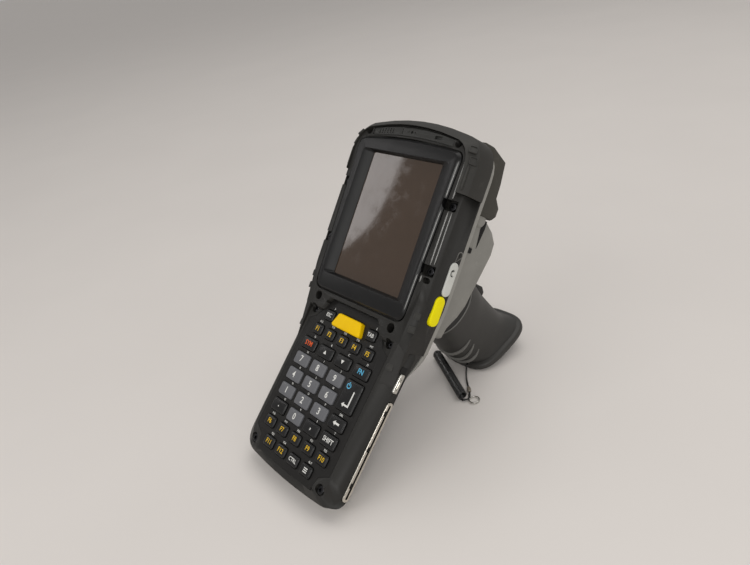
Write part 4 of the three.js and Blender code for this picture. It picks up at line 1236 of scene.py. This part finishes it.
def between_sections(sections, t):
    """A section between the given ones, on a smooth curve through them."""
    i = min(int(t), len(sections) - 2)
    f = t - i
    before = sections[max(i - 1, 0)]
    a, b = sections[i], sections[i + 1]
    after = sections[min(i + 2, len(sections) - 1)]
    mixed = []
    for p, q, r, s in zip(before, a, b, after):
        mixed.append(q + 0.5 * f * (r - p + f * (2 * p - 5 * q + 4 * r - s + f * (3 * (q - r) + s - p))))
    return tuple(mixed)


rows = []
STEPS = 14
for step in range((len(SLEEVE) - 1) * STEPS + 1):
    t = step / STEPS
    ring = section_ring(between_sections(SLEEVE, t))
    if step == 0:
        middle = sum(ring, Vector()) / RING_SIDES
        rows.append([middle + (p - middle) * 0.965 for p in ring])
        ring = [p + Vector((0, 0, -0.5)) for p in ring]
    rows.append(ring)
for above, drawn in ((4.3, 1.2), (3.6, 0.35), (2.8, 0), (0.7, 0), (0.2, 0.25), (0, 0.8)):
    rows.append(section_ring(foot_section(above, drawn)))
cup = lofted([section_ring((20, -69.5 - drop, 18.6, 19.4, collar_slope, 2.2)) for drop in (-3, 7)])
TRIGGER_ROOM = rounded_rectangle(7.6, 20.9, 0.5, 2, 0, 39.3)
room = slab(TRIGGER_ROOM, -104.6, -85.9)
grip_shape = softened(cut(lofted(rows), cup, room), 0.3, 2, 40)
COLLAR_BAND = 6.2
collar_normal = Vector((0, -math.sin(collar_slope), math.cos(collar_slope)))
for face in grip_shape.faces:
    below = collar_normal.dot(Vector((0, 20, -69.5)) - face.calc_center_median())
    face.material_index = 1 if below < COLLAR_BAND else 0
sleeve_finishes = [grip_finish, trigger_finish]
riding = {"slot": "grip", "stands_for": ["grip_handle"], "sharp": 45}
piece("grip_sleeve", grip_shape, sleeve_finishes, **riding)
print("sleeve:", len(rows), "rings of", RING_SIDES)

# %% [markdown]
# Three raised ribs curve round the palm side, and a rim closes the collar's dark band. They are
# tubes that follow the sleeve: the same section formula that made it gives their points, and each
# rib thins out towards its ends. Their pale grey is a painted highlight of the light on the raised edges.

# %% Ribs and rim on the grip
def on_sleeve(t, turn_angle, out):
    """A point on the sleeve at a height parameter and an angle round it."""
    return section_point(between_sections(SLEEVE, t), turn_angle, out)


RIB_RADIUS = 1.25
RIB_REACH = 66
rib_shapes = []
for palm, flank in ((2.1, 1.76), (3.0, 2.25), (4.0, 2.9)):
    spots, radii = [], []
    for step in range(33):
        share = 2 * step / 32 - 1
        height = palm - (palm - flank) * share ** 2
        spots.append(on_sleeve(height, math.radians(-90 + RIB_REACH * share), 0.1))
        radii.append(RIB_RADIUS * (1 - 0.75 * abs(share) ** 5))
    rib_shapes.append(tube(spots, radii, 10))
rim_height = COLLAR_BAND / 16.5
rim_line = [on_sleeve(rim_height, math.radians(7.5 * i), 0.05) for i in range(48)]
rib_shapes.append(tube(rim_line, [0.5] * 48, 10, closed=True))
piece("grip_ribs", together(*rib_shapes), ridge_highlight_finish, slot="grip")
print("ribs and rim:", len(rib_shapes))

# %% [markdown]
# ## Room and light
# The unit stands on a pale painted floor. It is one large disc, so that its edge is never near,
# and its paint is a little cloudy, since no real floor is one even colour.

# %% Floor
floor_shape = bmesh.new()
bmesh.ops.create_circle(floor_shape, cap_ends=True, segments=96, radius=30)
floor_mesh = as_mesh(floor_shape, "floor")
floor_finish = Finish("painted_floor")
cloudy = floor_finish.noise(160, 3, 0.5)
floor_finish.set("Base Color", floor_finish.blend(cloudy, tone(222, 217, 213), tone(228, 223, 219)))
floor_finish.set("Roughness", 0.45 + 0.1 * cloudy)
floor_mesh.materials.append(floor_finish.material)
floor = linked("floor", floor_mesh)
floor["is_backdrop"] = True
print("floor ready")

# %% [markdown]
# Broad lights give soft shadows. The largest hangs over the unit, a low one stands in front, and
# one beside the camera lights the faces that it sees. The room itself gives the rest as an even
# pale glow.

# %% Lights
def soft_light(name, place, size, power, colour):
    data = bpy.data.lights.new(name, "AREA")
    data.shape = "RECTANGLE"
    data.size, data.size_y = size
    data.energy = power
    data.color = colour
    lamp = linked(name, data)
    lamp.location = place
    lamp.rotation_mode = "QUATERNION"
    lamp.rotation_quaternion = (AIM - Vector(place)).to_track_quat("-Z", "Y")


AIM = Vector((0, 0, 0.1))
NEUTRAL = (1.0, 0.99, 0.97)
soft_light("ceiling_light", (0.1, 0.7, 1.8), (1.8, 1.2), 11.5, (1.0, 0.98, 0.95))
soft_light("front_light", (0.0, -1.15, 1.0), (0.9, 0.5), 3.0, NEUTRAL)
soft_light("camera_light", (1.15, -0.95, 0.95), (0.5, 0.5), 7.5, NEUTRAL)
world = bpy.data.worlds.new("room")
world.use_nodes = True
glow = world.node_tree.nodes["Background"].inputs
glow["Color"].default_value = (0.92, 0.9, 0.88, 1)
glow["Strength"].default_value = 0.46
bpy.context.scene.world = world
bpy.context.scene.view_settings.view_transform = "Standard"
print("lights:", len(bpy.data.lights))

# %% [markdown]
# A glossy screen is only as lively as what it mirrors. A pale card stands where the camera's
# rays land after the glass turns them, so that its curved edge crosses the screen. Only shiny
# surfaces see it.

# %% Card that the screen mirrors
CARD_EDGE = (
    (-60, 130), (-2.5, 130), (-3.2, 94), (-4.2, 82), (-5.5, 70), (-8, 60), (-12, 50),
    (-17, 43.2), (-22.3, 37.6), (-29, 31.5), (-60, 10),
)
GLASS_TOP = -3.6
CARD_REACH = 1.6
card_shape = bmesh.new()
corners = []
for x, y in CARD_EDGE:
    spot = Vector((x, y, GLASS_TOP))
    ray = spot - EYE
    ray.z = -ray.z
    corners.append(card_shape.verts.new(UNIT @ (spot + ray * CARD_REACH)))
card_shape.faces.new(corners)
card_mesh = as_mesh(card_shape, "mirror_card")
card_finish = Finish("card_glow")
card_glow = card_finish.blend(card_finish.noise(300, 2), (0.9, 0.88, 0.9), (1.0, 0.97, 0.95))
card_finish.set("Emission Color", card_glow)
card_finish.set("Emission Strength", 3.4)
card_mesh.materials.append(card_finish.material)
card = linked("mirror_card", card_mesh)
for ray_kind in ("camera", "diffuse", "shadow", "transmission"):
    setattr(card, "visible_" + ray_kind, False)
card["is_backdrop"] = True
print("card of", len(corners), "corners")

# %% [markdown]
# Last, the box of what is seen is measured again. It should be that of the frame, give or take a
# rounded edge, because a part that grew would no longer fit where the frame says it does.

# %% Sizes
low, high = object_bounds()
for name, span in (("visual", high - low), ("frame", cad_high - cad_low)):
    print(name, "box", [round(v * 1000, 1) for v in span])
